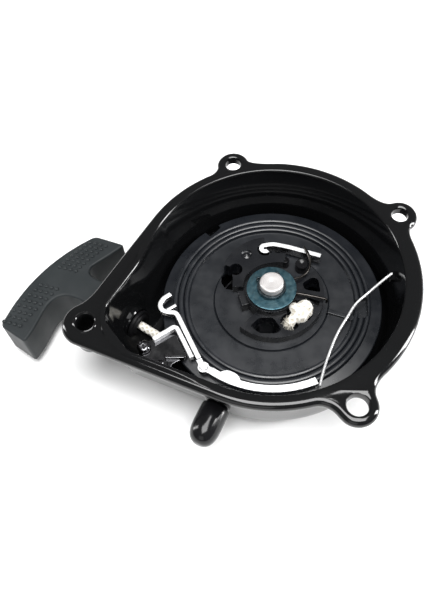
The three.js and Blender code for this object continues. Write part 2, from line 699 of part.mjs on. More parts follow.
function post() {
  return turn([
    [0, FLOOR + GAP], [POST_RADIUS, FLOOR + GAP], [POST_RADIUS, SNAP_RING_LOW],
    [POST_RADIUS - 1, SNAP_RING_LOW], [POST_RADIUS - 1, SNAP_RING_HIGH],
    [POST_RADIUS, SNAP_RING_HIGH], [POST_RADIUS, POST_TOP - 0.5], [POST_RADIUS - 0.5, POST_TOP],
    [0, POST_TOP],
  ], 32);
}

function retainingWasher() {
  return turn([
    [POST_RADIUS + GAP, WASHER_LOW], [11.2, WASHER_LOW], [11.4, WASHER_LOW + 0.2],
    [11.4, WASHER_LOW + 1], [11.2, WASHER_LOW + 1.2], [POST_RADIUS + GAP, WASHER_LOW + 1.2],
  ], 40);
}

// An open snap ring with a lug at each end, seated in the post's groove.
function snapRing() {
  const low = SNAP_RING_LOW + GAP;
  const high = SNAP_RING_HIGH - GAP;
  const band = sectorShape(POST_RADIUS - 0.7, POST_RADIUS + 1.1, 150, 430);
  const lugs = [70, 150].map((at) => disc(1.25, low, high, ...polar(POST_RADIUS + 1.35, at), 14));
  const holes = [70, 150].map((at) => disc(0.5, low - 1, high + 1, ...polar(POST_RADIUS + 1.5, at), 10));
  const clear = disc(POST_RADIUS - 0.7, low - 1, high + 1, 0, 0, 32);
  return cut(join(raise(band, low, high, 10), ...lugs), clear, ...holes);
}

// The recoil spring: a strip wound in a spiral, hooked to the reel's skirt and to the dome wall.
function recoilSpring() {
  const turns = 6;
  const inner = 13;
  const outer = DOME_RADIUS - 2.4;
  const steps = turns * 18;
  const line = [];
  for (let i = 0; i <= steps; i += 1) {
    const along = i / steps;
    line.push(polar(inner + (outer - inner) * along, 360 * turns * along));
  }
  return raise(strip(line, 0.7), FLOOR + 0.4, FLOOR + 6.4);
}

// ---------------------------------------------------------------- rope, guide and grip

function alongRope(profile, segments = 24) {
  return turnAlong(profile, ROPE_DIRECTION, [...ropeStart, ROPE_HEIGHT], segments);
}

// A collared sleeve in the corner wall, with a rounded bore.
function ropeGuide() {
  const collar = OUTLET - 6 - GAP;
  return alongRope([
    [3.7, collar - 2.6], [5.2, collar - 2.6], [5.7, collar - 1.5], [7, collar - 1.5], [7, collar],
    [GUIDE_RADIUS, collar], [GUIDE_RADIUS, OUTLET + 3.4], [3.6, OUTLET + 3.4],
    [2.9, OUTLET + 2.6], [2.9, collar - 1.6],
  ], 20);
}

function ropeCoil() {
  return ring(DRUM_RADIUS + GAP, ROPE_COIL_RADIUS, GROOVE_LOW + GAP, GROOVE_HIGH - GAP, 52);
}

// The rope from the knot down through the web and out to the drum.
function ropeLead() {
  const [x, y] = LEAD_HOLE;
  const low = LEAD_HEIGHT;
  return bar([
    [x, y, GROOVE_HIGH + 0.6], [x + 0.3, y - 0.1, low + 1.6], [...polar(19.5, LEAD_DIRECTION - 2), low + 0.3],
    [...polar(26, LEAD_DIRECTION), low], [...polar(DRUM_RADIUS - GAP, LEAD_DIRECTION), low],
  ], ROPE_RADIUS, 5, 8);
}

function ropeLeadHole() {
  const ends = [DRUM_RADIUS - 6, DRUM_RADIUS + 4].map((r) => [...polar(r, LEAD_DIRECTION), LEAD_HEIGHT]);
  return bar(ends, ROPE_RADIUS + 0.4, 12, 1, true);
}

function ropeRun() {
  const start = 19.5;
  const end = GRIP_START + GRIP_LENGTH - 14.6;
  return bar([
    [...ropePlace(start), ROPE_HEIGHT], [...ropePlace(end), ROPE_HEIGHT],
  ], ROPE_RADIUS, 6, 6, true);
}

function ropeKnot() {
  const ball = (radius, x, y, z, squash) => {
    const geometry = new THREE.SphereGeometry(radius, 14, 9);
    return toSolid(geometry.rotateX(Math.PI / 2).scale(1, 1, squash).translate(x, y, z));
  };
  return join(ball(5.4, ...KNOT, 25.7, 0.95), ball(3.9, ...KNOT_LOBE, 24.9, 1));
}

// The handle from above. It leans on its soft neck, so its two arms differ.
function gripOutline() {
  const line = (points, count) => {
    const curve = new THREE.SplineCurve(points.map(([x, y]) => new THREE.Vector2(x, y)));
    return curve.getPoints(count).map((point) => [point.x, point.y]);
  };
  const bend = (a, b, c, count) => {
    const curve = new THREE.QuadraticBezierCurve(
      new THREE.Vector2(...a), new THREE.Vector2(...b), new THREE.Vector2(...c),
    );
    return curve.getPoints(count).map((point) => [point.x, point.y]);
  };
  return polygon([
    ...line([
      [0, 8.4], [7, 7.7], [14.3, 7.9], [20.3, 8.4], [25.2, 10], [28.4, 13.6], [29.2, 19],
      [27.9, 25.2], [26.4, 31.2], [25.8, 35.4],
    ], 20),
    ...bend([25.6, 36.4], [25.4, 39.3], [28.3, 39.3], 3),
    ...bend([38, 39.2], [41.2, 39.1], [41.6, 35.8], 3),
    ...bend([41.6, 35.8], [49.2, 6.2], [36.4, -21.2], 14).slice(1),
    ...bend([36.4, -21.2], [35.3, -24.1], [32, -24.9], 3).slice(1),
    ...bend([22.2, -27.2], [19.1, -27.9], [19.9, -24.8], 3),
    ...line([
      [20.3, -23.4], [21.9, -18.7], [24.2, -12.2], [25, -8.6], [23.6, -5.9], [20, -5.1],
      [14, -5.8], [8, -6.7], [0, -8.4],
    ], 17),
  ]);
}

function grip() {
  const half = GRIP_THICKNESS / 2;
  const plate = flangePlate(gripOutline(), -half, half, 1, 1);
  const bore = turn([
    [0, -2], [ROPE_RADIUS + 0.5, -2], [ROPE_RADIUS + 0.5, GRIP_LENGTH - 20],
    [6.2, GRIP_LENGTH - 20], [6.2, GRIP_LENGTH + 4], [0, GRIP_LENGTH + 4],
  ], 24).rotate([0, 90, 0]);
  return placeGrip(cut(plate, bore));
}

function placeGrip(solid) {
  return solid.rotate([0, 0, ROPE_DIRECTION]).translate([...ropePlace(GRIP_START), ROPE_HEIGHT]);
}

function gripWasher() {
  const profile = [[2.4, GRIP_LENGTH - 19.6], [5.8, GRIP_LENGTH - 19.6], [5.8, GRIP_LENGTH - 18],
    [2.4, GRIP_LENGTH - 18]];
  return placeGrip(turn(profile, 24).rotate([0, 90, 0]));
}

function gripKnot() {
  const geometry = new THREE.SphereGeometry(5, 14, 9).translate(GRIP_LENGTH - 9, 0, 0);
  return placeGrip(toSolid(geometry));
}

// The soft cap over the unused cable inlet.
function cableBoot() {
  const start = 60.4;
  return turnAlong([
    [6.3, start], [6.6, start + 0.5], [6.7, 66], [6.7, 70], [6.3, 73.4], [5, 76.2], [2.8, 77.9],
    [0, 78.4], [0, 76], [3, 75], [4.3, 72], [4.3, start],
  ], INLET_DIRECTION, [0, 0, INLET_HEIGHT]);
}

// ---------------------------------------------------------------- finishes and assembly

const finish = (color, roughness, metalness) => ({ color, roughness, metalness });
const blackPaint = finish(0x17181a, 0.25, 0.3);
const charcoal = finish(0x2b2c31, 0.55, 0);
const zinc = finish(0xd8dade, 0.28, 1);
const blueZinc = finish(0x6f94a3, 0.35, 0.9);
const steel = finish(0xc9c7c2, 0.3, 1);
const springSteel = finish(0x4a4b50, 0.4, 1);
const rope = finish(0xe9e2d2, 0.9, 0);
const softGrip = finish(0x34383a, 0.75, 0);
const vinyl = finish(0x0c0c0e, 0.15, 0);
const bronze = finish(0x9a7b4f, 0.4, 0.9);

const recoilStarter = new THREE.Group();

function add(name, solid, look) {
  const material = new THREE.MeshStandardMaterial(look);
  const mesh = new THREE.Mesh(toGeometry(solid), material);
  mesh.name = name;
  recoilStarter.add(mesh);
}

add('case_shell', caseShell(), blackPaint);
add('rope_guide', ropeGuide(), charcoal);
add('center_post', post(), steel);
add('recoil_spring', recoilSpring(), springSteel);
add('reel', reel(), charcoal);
add('reel_bushing', bushing(), bronze);
add('friction_spring', frictionSpring(), steel);
add('pawl', pawl(), zinc);
add('retaining_washer', retainingWasher(), blueZinc);
add('snap_ring', snapRing(), zinc);
add('rope_knot', ropeKnot(), rope);
add('rope_lead', ropeLead(), rope);
add('rope_coil', ropeCoil(), rope);
add('rope_run', ropeRun(), rope);
add('lock_bracket', lockBracket(), zinc);
BRACKET_SCREWS.forEach((place, i) => add(`bracket_screw_${i + 1}`, bracketScrew(place), zinc));
add('hook_strip', hookStrip(), zinc);
add('lock_lever', lockLever(), zinc);
add('lever_pin', leverPin(), zinc);
add('return_wire', returnWire(), zinc);
add('cable_boot', cableBoot(), vinyl);
add('grip', grip(), softGrip);
add('grip_washer', gripWasher(), zinc);
add('grip_knot', gripKnot(), rope);

export default recoilStarter;
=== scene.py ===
# Looks of the recoil starter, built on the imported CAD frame. Shapes are written in millimetres.
import math
import random

import bmesh
import bpy
import numpy as np
from mathutils import Euler, Matrix, Vector
from mathutils.geometry import tessellate_polygon


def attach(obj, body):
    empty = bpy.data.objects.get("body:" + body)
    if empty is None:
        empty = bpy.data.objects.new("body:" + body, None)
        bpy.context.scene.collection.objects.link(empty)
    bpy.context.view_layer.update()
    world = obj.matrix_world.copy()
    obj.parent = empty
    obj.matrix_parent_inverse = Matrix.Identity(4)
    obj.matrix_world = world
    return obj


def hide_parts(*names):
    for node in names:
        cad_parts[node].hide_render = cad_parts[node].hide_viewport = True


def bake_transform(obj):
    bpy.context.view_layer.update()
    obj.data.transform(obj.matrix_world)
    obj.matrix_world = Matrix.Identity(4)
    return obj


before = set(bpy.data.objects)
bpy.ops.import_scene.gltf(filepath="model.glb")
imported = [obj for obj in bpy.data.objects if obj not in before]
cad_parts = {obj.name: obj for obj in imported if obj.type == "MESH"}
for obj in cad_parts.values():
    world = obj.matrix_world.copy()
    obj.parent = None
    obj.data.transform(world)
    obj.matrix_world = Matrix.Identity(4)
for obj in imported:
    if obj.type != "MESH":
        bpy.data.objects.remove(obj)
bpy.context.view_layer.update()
rng = random.Random(7)

MM = 0.001

# ------------------------------------------------------------------ camera
CAMERA_AT = Vector((0, -162.3, 305))
CAMERA_TURN = (29.8132, 3.1687, 4.2834)


def add_camera():
    camera = bpy.data.objects.new("camera", bpy.data.cameras.new("camera"))
    bpy.context.scene.collection.objects.link(camera)
    turn = Euler([math.radians(a) for a in CAMERA_TURN]).to_matrix().to_4x4()
    camera.matrix_world = Matrix.Translation(CAMERA_AT * MM) @ turn
    camera.data.sensor_fit = "HORIZONTAL"
    camera.data.sensor_width = 36
    camera.data.lens = 58.77
    camera.data.clip_start = 0.01
    bpy.context.scene.camera = camera


add_camera()


# ------------------------------------------------------------------ outlines
def polar(radius, degrees):
    a = math.radians(degrees)
    return (radius * math.cos(a), radius * math.sin(a))


def arc(x, y, radius, start, end, step=4.0):
    """Points along an arc, no further apart than a step in degrees."""
    count = max(1, math.ceil(abs(end - start) / step))
    points = []
    for i in range(count + 1):
        dx, dy = polar(radius, start + (end - start) * i / count)
        points.append((x + dx, y + dy))
    return points


def sector(inner, outer, start, end, step=3.0):
    return arc(0, 0, outer, start, end, step) + arc(0, 0, inner, end, start, step)


def bezier(a, b, c, t):
    return (1 - t) ** 2 * a + 2 * t * (1 - t) * b + t * t * c


def quadratic(a, b, c, steps=10):
    """Points along a curve that leaves a and reaches c, drawn towards b."""
    return [tuple(bezier(Vector(a), Vector(b), Vector(c), k / steps)) for k in range(steps + 1)]


def rounded(points, radius, steps=5):
    """A polygon's outline with its corners rounded."""
    out = []
    for i, point in enumerate(points):
        corner = Vector(point)
        before = (Vector(points[i - 1]) - corner).normalized() * radius
        after = (Vector(points[(i + 1) % len(points)]) - corner).normalized() * radius
        out += quadratic(corner + before, corner, corner + after, steps)
    return out


def smooth_line(points, per=6):
    """A Catmull-Rom curve through points in the plane or in space."""
    pts = [Vector(p) for p in points]
    pts = [2 * pts[0] - pts[1]] + pts + [2 * pts[-1] - pts[-2]]
    out = []
    for i in range(1, len(pts) - 2):
        p0, p1, p2, p3 = pts[i - 1 : i + 3]
        for k in range(per):
            t = k / per
            out.append(0.5 * (2 * p1 + (p2 - p0) * t + (2 * p0 - 5 * p1 + 4 * p2 - p3) * t * t
                              + (3 * p1 - p0 - 3 * p2 + p3) * t ** 3))
    out.append(pts[-2])
    return [tuple(p) for p in out]


def strip(points, width):
    """The outline of a strip of constant width along a path in the plane."""
    line = [Vector(p) for p in points]
    left, right = [], []
    for i, point in enumerate(line):
        ahead = line[min(i + 1, len(line) - 1)] - point
        behind = point - line[max(i - 1, 0)]
        ahead = (ahead if ahead.length else behind).normalized()
        behind = (behind if behind.length else ahead).normalized()
        middle = (ahead + behind).normalized()
        reach = width / 2 / max(middle.dot(ahead), 0.5)
        side = Vector((-middle.y, middle.x)) * reach
        left.append(tuple(point + side))
        right.append(tuple(point - side))
    return left + right[::-1]


def area(outline):
    return 0.5 * sum(a[0] * b[1] - b[0] * a[1] for a, b in zip(outline, outline[1:] + outline[:1]))


def even(points, least=0.12):
    """Drops points that lie nearly on top of each other."""
    out = []
    for p in points:
        if not out or math.dist(out[-1], p) > least:
            out.append(p)
    return out


def inset(points, distance):
    """An outline moved inwards by a small distance."""
    out = []
    for i, point in enumerate(points):
        t = (Vector(points[(i + 1) % len(points)]) - Vector(points[i - 1])).normalized()
        out.append(tuple(Vector(point) + Vector((-t.y, t.x)) * distance))
    return out


def at_height(points, z):
    return [(x, y, z) for x, y in points]


def level(ring):
    """A ring's outline without its heights."""
    return [p[:2] for p in ring]


# ------------------------------------------------------------------ meshes
def new_piece(name, verts, faces):
    mesh = bpy.data.meshes.new(name)
    mesh.from_pydata([Vector(v) * MM for v in verts], [], faces)
    mesh.validate()
    piece = bpy.data.objects.new(name, mesh)
    bpy.context.scene.collection.objects.link(piece)
    return piece


def tidy_mesh(piece, weld=1e-7):
    """Merges doubled points and turns every face outwards."""
    bm = bmesh.new()
    bm.from_mesh(piece.data)
    bmesh.ops.remove_doubles(bm, verts=bm.verts, dist=weld)
    bmesh.ops.recalc_face_normals(bm, faces=bm.faces)
    bm.to_mesh(piece.data)
    bm.free()
    return piece


def skin(rings, closed=False):
    """Quads between rings of equal length. Closed joins the last ring to the first."""
    size = len(rings[0])
    verts = [p for one in rings for p in one]
    faces = []
    for i in range(len(rings) - (0 if closed else 1)):
        a, b = i * size, ((i + 1) % len(rings)) * size
        faces += [(a + k, a + (k + 1) % size, b + (k + 1) % size, b + k) for k in range(size)]
    return verts, faces


def loft(name, rings, closed=False):
    """A body with a skin over rings, capped at both ends or closed on itself."""
    size = len(rings[0])
    verts, faces = skin(rings, closed)
    if not closed:
        faces.append(tuple(range(size))[::-1])
        faces.append(tuple(range(len(verts) - size, len(verts))))
    return tidy_mesh(new_piece(name, verts, faces))


def flat_region(loops, z, up):
    """A face bounded by an outer loop and holes, level or at a height that follows a function."""
    lists = [[Vector((x, y, 0)) for x, y in loop] for loop in loops]
    verts = [(p.x, p.y, z(p.x, p.y) if callable(z) else z) for loop in lists for p in loop]
    faces = tessellate_polygon(lists)
    return verts, [tuple(f if up == (area([verts[i] for i in f]) > 0) else f[::-1]) for f in faces]


def piece_from(name, parts):
    """One body from lists of vertices and faces."""
    verts, faces = [], []
    for part_verts, part_faces in parts:
        start = len(verts)
        verts += part_verts
        faces += [tuple(i + start for i in f) for f in part_faces]
    return tidy_mesh(new_piece(name, verts, faces), 2e-6)


def lathe(name, profile, segments=96, x=0.0, y=0.0):
    """A body of revolution about +Z. The profile starts and ends on the axis, or closes on itself."""
    rings = []
    for r, z in profile:
        turned = [polar(max(r, 1e-4), 360 * k / segments) for k in range(segments)]
        rings.append([(x + dx, y + dy, z) for dx, dy in turned])
    return loft(name, rings, closed=profile[0][0] > 0)


def disc(name, radius, low, high, x=0.0, y=0.0, segments=48):
    return lathe(name, [(0, low), (radius, low), (radius, high), (0, high)], segments, x, y)


def prism(name, outline, low, high):
    outline = list(outline) if area(outline) > 0 else outline[::-1]
    return loft(name, [at_height(outline, low), at_height(outline, high)])


def quarter(steps):
    """The shares of a quarter round: how far in, and how far down."""
    angles = [math.radians(90 * k / steps) for k in range(steps + 1)]
    return [(1 - math.sin(a), 1 - math.cos(a)) for a in angles]


def round_edge(points, radius, low, high, steps=4):
    """Rings that round an outline's lower and upper edge."""
    rings = [at_height(inset(points, radius * share), low + radius * rise) for share, rise in quarter(steps)]
    return rings + [at_height(inset(points, radius * share), high - radius * drop)
                    for share, drop in reversed(quarter(steps))]


def frames(line):
    """Each point of a line, with two directions across it that don't twist along the way."""
    normal = None
    for i, p in enumerate(line):
        tangent = (line[min(i + 1, len(line) - 1)] - line[max(i - 1, 0)]).normalized()
        if normal is None:
            helper = Vector((0, 0, 1)) if abs(tangent.z) < 0.9 else Vector((1, 0, 0))
            normal = tangent.cross(helper).normalized()
        normal = (normal - tangent * normal.dot(tangent)).normalized()
        yield p, normal, tangent.cross(normal)


def tube(name, points, radius, sides=14):
    """A round bar along a list of points. The radius may be a function of the share run."""
    rings = []
    angles = [2 * math.pi * k / sides for k in range(sides)]
    for i, (p, normal, other) in enumerate(frames([Vector(p) for p in points])):
        r = radius(i / (len(points) - 1)) if callable(radius) else radius
        rings.append([tuple(p + (normal * math.cos(a) + other * math.sin(a)) * r) for a in angles])
    return loft(name, rings)


def place(piece, matrix):
    piece.data.transform(matrix)
    return piece


def lay_along(piece, degrees, origin):
    """Turns +Z of a piece to a horizontal direction and moves it to its origin."""
    turn = Matrix.Rotation(math.radians(degrees), 4, "Z") @ Matrix.Rotation(math.radians(90), 4, "Y")
    return place(piece, Matrix.Translation(Vector(origin) * MM) @ turn)


def settled(piece):
    """Applies a piece's modifiers to its mesh."""
    graph = bpy.context.evaluated_depsgraph_get()
    mesh = bpy.data.meshes.new_from_object(piece.evaluated_get(graph))
    piece.modifiers.clear()
    piece.data = mesh
    return piece


def combine(piece, tools, operation="DIFFERENCE"):
    """Joins or cuts a piece with tools, and removes the tools."""
    for tool in tools:
        modifier = piece.modifiers.new("boolean", "BOOLEAN")
        modifier.operation = operation
        modifier.solver = "EXACT"
        modifier.object = tool
        settled(piece)
        bpy.data.objects.remove(tool)
    return piece


def bevelled(piece, width, segments=3, limit=35.0):
    rounding = piece.modifiers.new("edges", "BEVEL")
    rounding.width = width * MM
    rounding.segments = segments
    rounding.limit_method = "ANGLE"
    rounding.angle_limit = math.radians(limit)
    return settled(piece)


def plate(name, points, low, high, radius):
    return bevelled(prism(name, points, low, high), radius, 4, 30)


def merge(piece, others):
    """Puts other pieces' faces into one piece, as they are."""
    bm = bmesh.new()
    for one in [piece] + others:
        bm.from_mesh(one.data)
    bm.to_mesh(piece.data)
    bm.free()
    for one in others:
        bpy.data.objects.remove(one)
    return piece


def smooth(piece):
    for polygon in piece.data.polygons:
        polygon.use_smooth = True
    return piece


def shaded(piece, angle=38.0):
    """Smooth shading with sharp edges kept sharp."""
    smooth(piece).data.set_sharp_from_angle(angle=math.radians(angle))
    return piece


def crisp(piece, angle=38.0):
    """Smooth shading that keeps flat faces flat and sharp edges sharp."""
    weighted = shaded(piece, angle).modifiers.new("normals", "WEIGHTED_NORMAL")
    weighted.keep_sharp = True
    return piece


def ready(piece, body, material, slot, *nodes):
    """Gives a piece its material and its body, and hides the CAD nodes it stands for."""
    piece.data.materials.clear()
    piece.data.materials.append(material)
    if nodes:
        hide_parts(*nodes)
    if body:
        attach(piece, body)
    return piece


def second_material(piece, material, chosen):
    """Gives the faces that a test picks out a second material."""
    piece.data.materials.append(material)
    for face in piece.data.polygons:
        if chosen(face):
            face.material_index = 1


# The upright side faces, which take the painted shade.
def on_upright_side(face):
    return abs(face.normal.z) < 0.6


# ------------------------------------------------------------------ materials
def node_material(name, base, rough, metal=0.0):
    """A material with its shader, ready for colour, roughness and bump to be wired in."""
    material = bpy.data.materials.new(name)
    material.use_nodes = True
    shader = material.node_tree.nodes["Principled BSDF"]
    shader.inputs["Base Color"].default_value = (*base, 1)
    shader.inputs["Roughness"].default_value = rough
    shader.inputs["Metallic"].default_value = metal
    return material, material.node_tree.nodes, material.node_tree.links, shader


def noise(nodes, links, scale, detail, stretch=None):
    """A noise texture on object coordinates, in cycles per metre."""
    texture = nodes.new("ShaderNodeTexNoise")
    texture.inputs["Scale"].default_value = scale
    texture.inputs["Detail"].default_value = detail
    texture.inputs["Roughness"].default_value = 0.55
    source = nodes.new("ShaderNodeTexCoord").outputs["Object"]
    if stretch:
        mapping = nodes.new("ShaderNodeMapping")
        mapping.inputs["Scale"].default_value = stretch
        links.new(source, mapping.inputs["Vector"])
        source = mapping.outputs["Vector"]
    links.new(source, texture.inputs["Vector"])
    return texture.outputs["Fac"]


def remap(nodes, links, value, low, high, to_low, to_high):
    node = nodes.new("ShaderNodeMapRange")
    for socket, limit in (("From Min", low), ("From Max", high), ("To Min", to_low), ("To Max", to_high)):
        node.inputs[socket].default_value = limit
    links.new(value, node.inputs["Value"])
    return node.outputs["Result"]


def ramp(nodes, links, value, stops):
    node = nodes.new("ShaderNodeValToRGB")
    elements = node.color_ramp.elements
    while len(elements) < len(stops):
        elements.new(0.5)
    for element, (at, colour) in zip(elements, stops):
        element.position = at
        element.color = (*colour, 1)
    links.new(value, node.inputs["Fac"])
    return node.outputs["Color"]


def bump(nodes, links, shader, height, distance, strength, below=None):
    node = nodes.new("ShaderNodeBump")
    node.inputs["Distance"].default_value = distance * MM
    node.inputs["Strength"].default_value = strength
    links.new(height, node.inputs["Height"])
    if below is not None:
        links.new(below, node.inputs["Normal"])
    links.new(node.outputs["Normal"], shader.inputs["Normal"])
    return node.outputs["Normal"]


def black_paint():
    """Glossy black enamel: a faint orange peel, a little haze and a few dust specks."""
    m, n, l, s = node_material("black_paint", (0.004, 0.0042, 0.0045), 0.1)
    l.new(remap(n, l, noise(n, l, 45, 3), 0.35, 0.7, 0.06, 0.14), s.inputs["Roughness"])
    l.new(ramp(n, l, noise(n, l, 1500, 2), [(0.0, (0.003, 0.003, 0.0034)), (0.68, (0.004, 0.0042, 0.0045)),
                                            (0.8, (0.02, 0.02, 0.023))]), s.inputs["Base Color"])
    bump(n, l, s, noise(n, l, 260, 2), 0.03, 0.35)
    s.inputs["Specular IOR Level"].default_value = 0.42
    return m


def moulded_plastic(name, dark, light, rough_low, rough_high, grain=0.02, grain_scale=900, shine=0.5):
    """Matt moulded plastic: fine grain and cloudy gloss."""
    m, n, l, s = node_material(name, dark, rough_low)
    l.new(ramp(n, l, noise(n, l, 60, 5), [(0.3, dark), (0.75, light)]), s.inputs["Base Color"])
    l.new(remap(n, l, noise(n, l, 120, 4), 0.3, 0.7, rough_low, rough_high), s.inputs["Roughness"])
    s.inputs["Specular IOR Level"].default_value = shine
    fine = bump(n, l, s, noise(n, l, grain_scale, 3), grain, 0.5)
    bump(n, l, s, noise(n, l, 90, 2), grain * 3, 0.2, fine)
    return m


def plated_metal(name, low, high, rough_low, rough_high, scale=160, stretch=None, peel=0.01, metal=1.0):
    """Plated or bare metal with cloudy colour, wiped roughness and fine marks."""
    m, n, l, s = node_material(name, low, rough_low, metal)
    l.new(ramp(n, l, noise(n, l, scale, 5), [(0.32, low), (0.68, high)]), s.inputs["Base Color"])
    l.new(remap(n, l, noise(n, l, scale * 2.2, 4, stretch), 0.3, 0.7, rough_low, rough_high),
          s.inputs["Roughness"])
    bump(n, l, s, noise(n, l, scale * 6, 3, stretch), peel, 0.4)
    return m


def turned_steel():
    """A turned axle end: fine rings round +Z."""
    m, n, l, s = node_material("turned_steel", (0.8, 0.78, 0.77), 0.28, 0.45)
    wave = n.new("ShaderNodeTexWave")
    wave.wave_type = "RINGS"
    wave.rings_direction = "Z"
    wave.inputs["Scale"].default_value = 420
    wave.inputs["Distortion"].default_value = 1.2
    wave.inputs["Detail"].default_value = 2
    l.new(n.new("ShaderNodeTexCoord").outputs["Object"], wave.inputs["Vector"])
    l.new(ramp(n, l, noise(n, l, 220, 4), [(0.3, (0.5, 0.48, 0.47)), (0.7, (0.66, 0.64, 0.63))]),
          s.inputs["Base Color"])
    l.new(remap(n, l, wave.outputs["Fac"], 0, 1, 0.24, 0.4), s.inputs["Roughness"])
    bump(n, l, s, wave.outputs["Fac"], 0.012, 0.5)
    return m


BRAID_PITCH = 3.0
BRAID_STRANDS = 4


def braided_rope():
    """Cream braid: two families of strands along the tube's own coordinates, with loose fibres."""
    m, n, l, s = node_material("braided_rope", (0.78, 0.74, 0.66), 0.85)
    split = n.new("ShaderNodeSeparateXYZ")
    l.new(n.new("ShaderNodeTexCoord").outputs["UV"], split.inputs["Vector"])

    def math_node(kind, *values):
        node = n.new("ShaderNodeMath")
        node.operation = kind
        for socket, value in zip(node.inputs, values):
            if isinstance(value, (int, float)):
                socket.default_value = value
            else:
                l.new(value, socket)
        return node.outputs["Value"]

    along = math_node("MULTIPLY", split.outputs["X"], 2 * math.pi / BRAID_PITCH)
    around = math_node("MULTIPLY", split.outputs["Y"], 2 * math.pi * BRAID_STRANDS)
    one = math_node("SINE", math_node("ADD", along, around))
    two = math_node("SINE", math_node("SUBTRACT", along, around))
    weave = math_node("MAXIMUM", one, two)
    yarn = math_node("MULTIPLY", noise(n, l, 2600, 3), 0.6)
    # The base colour is darker where the strands dip: painted shade in the grooves of the braid.
    l.new(ramp(n, l, remap(n, l, weave, -0.2, 1.0, 0, 1), [
        (0.0, (0.56, 0.52, 0.44)), (0.3, (0.7, 0.67, 0.59)), (0.9, (0.8, 0.78, 0.73))]),
        s.inputs["Base Color"])
    bump(n, l, s, math_node("ADD", math_node("MULTIPLY", weave, 0.5), yarn), 0.35, 0.7)
    s.inputs["Sheen Weight"].default_value = 0.25
    return m


PAINT = black_paint()
CHARCOAL = moulded_plastic("charcoal_plastic", (0.007, 0.0082, 0.0105), (0.012, 0.0135, 0.0165), 0.24, 0.38)
# The hub's raised parts belong to the reel's moulding; this darker copy of its plastic is painted shade, with a
# little more gloss.
HUB_SHADED_PLASTIC = moulded_plastic("hub_plastic_painted_shade", (0.004, 0.0045, 0.006), (0.0065, 0.0072, 0.009), 0.2, 0.32)
# Black plastic for the rope guide, darker than the reel's charcoal: its own black, deepened as painted shade for
# the corner.
GUIDE_SHADED_PLASTIC = moulded_plastic("guide_plastic_painted_shade", (0.004, 0.004, 0.0045), (0.007, 0.007, 0.008), 0.4, 0.55,
                                shine=0.2)
GRIP_PLASTIC = moulded_plastic("grip_plastic", (0.0175, 0.0208, 0.0222), (0.0245, 0.0282, 0.03), 0.38, 0.52,
                               grain=0.035, grain_scale=1300, shine=0.2)
VINYL = moulded_plastic("boot_vinyl", (0.004, 0.004, 0.0045), (0.006, 0.006, 0.007), 0.1, 0.2, grain=0.01,
                        grain_scale=400, shine=0.3)
ZINC = plated_metal("bright_zinc", (0.86, 0.87, 0.88), (0.96, 0.96, 0.965), 0.24, 0.4, metal=0.5)
# A darker copy of the zinc for the upright sides of strips: painted shade.
ZINC_SIDE_SHADE = plated_metal("zinc_side_painted_shade", (0.26, 0.26, 0.27), (0.38, 0.38, 0.39), 0.2, 0.32)
# Zinc darkened as painted shade, for the bracket's foot and the screw heads.
ZINC_PAINTED_SHADE = plated_metal("zinc_painted_shade", (0.07, 0.07, 0.075), (0.16, 0.16, 0.165), 0.12, 0.22)
WIRE = plated_metal("wire", (0.72, 0.72, 0.73), (0.88, 0.88, 0.88), 0.2, 0.32, stretch=(1, 1, 0.2), metal=0.5)
DARK_WIRE = plated_metal("dark_wire", (0.035, 0.032, 0.03), (0.075, 0.07, 0.066), 0.25, 0.4)
BLUE_ZINC = plated_metal("blue_zinc", (0.028, 0.074, 0.098), (0.085, 0.15, 0.172), 0.28, 0.44, scale=420,
                         peel=0.02)
CLIP_STEEL = plated_metal("clip_steel", (0.03, 0.04, 0.045), (0.07, 0.09, 0.1), 0.25, 0.4, scale=500)
SPRING_STEEL = plated_metal("spring_steel", (0.1, 0.1, 0.11), (0.17, 0.17, 0.18), 0.3, 0.45)
BRONZE = plated_metal("bronze", (0.4, 0.25, 0.12), (0.52, 0.34, 0.18), 0.3, 0.45)
STEEL = turned_steel()
ROPE = braided_rope()


# ------------------------------------------------------------------ case outline
CASE_TOP = 46.0
FLANGE_LOW = 41.8
BOWL_RADIUS = 57.5
FLANGE_WIDTH = 6.0
FLANGE_WIDER = 2.0
# The corner's three walls: the way each faces, and how far it lies from the axis.
WALLS = ((153.2, 54.4), (220.5, 71.2), (251, 57.5))
CORNER_ROUND = 9.0
# Each round ear: its centre, its radius, its hole's radius, and its reach on each side in degrees.
EARS = ((-20.8, 61.6, 7.8, 3.6, 20, 11), (57.2, 33.6, 8.0, 3.6, 13, 17), (35.7, -59.8, 8.6, 4.5, 14, 16))
CORNER_EAR = (-79.5, -28.0, 10.4, 3.8)
ANGLES = np.concatenate([np.arange(0, 165, 1.5), np.arange(165, 190, 0.75), np.arange(190, 245, 0.35),
                         np.arange(245, 360, 1.5)])
DOME = 38.5
EDGE_IN = 2.6
EDGE_DOWN = 2.3
ROPE_DIRECTION = 150
ROPE_HEIGHT = 15.4
OUTLET = 52.6
INLET_DIRECTION = -111
INLET_HEIGHT = 26
WIRE_ANCHOR = 34.2
BRACKET_SCREWS = ((-56.6, -28.8), (-47.4, -38.0))


def rope_place(along):
    """A point on the rope's line, from where it leaves the reel's drum."""
    ux, uy = polar(1, ROPE_DIRECTION)
    return (-uy * 42 + ux * along, ux * 42 + uy * along)


def on_rope(piece, start=0.0):
    return lay_along(piece, ROPE_DIRECTION, (*rope_place(start), ROPE_HEIGHT))


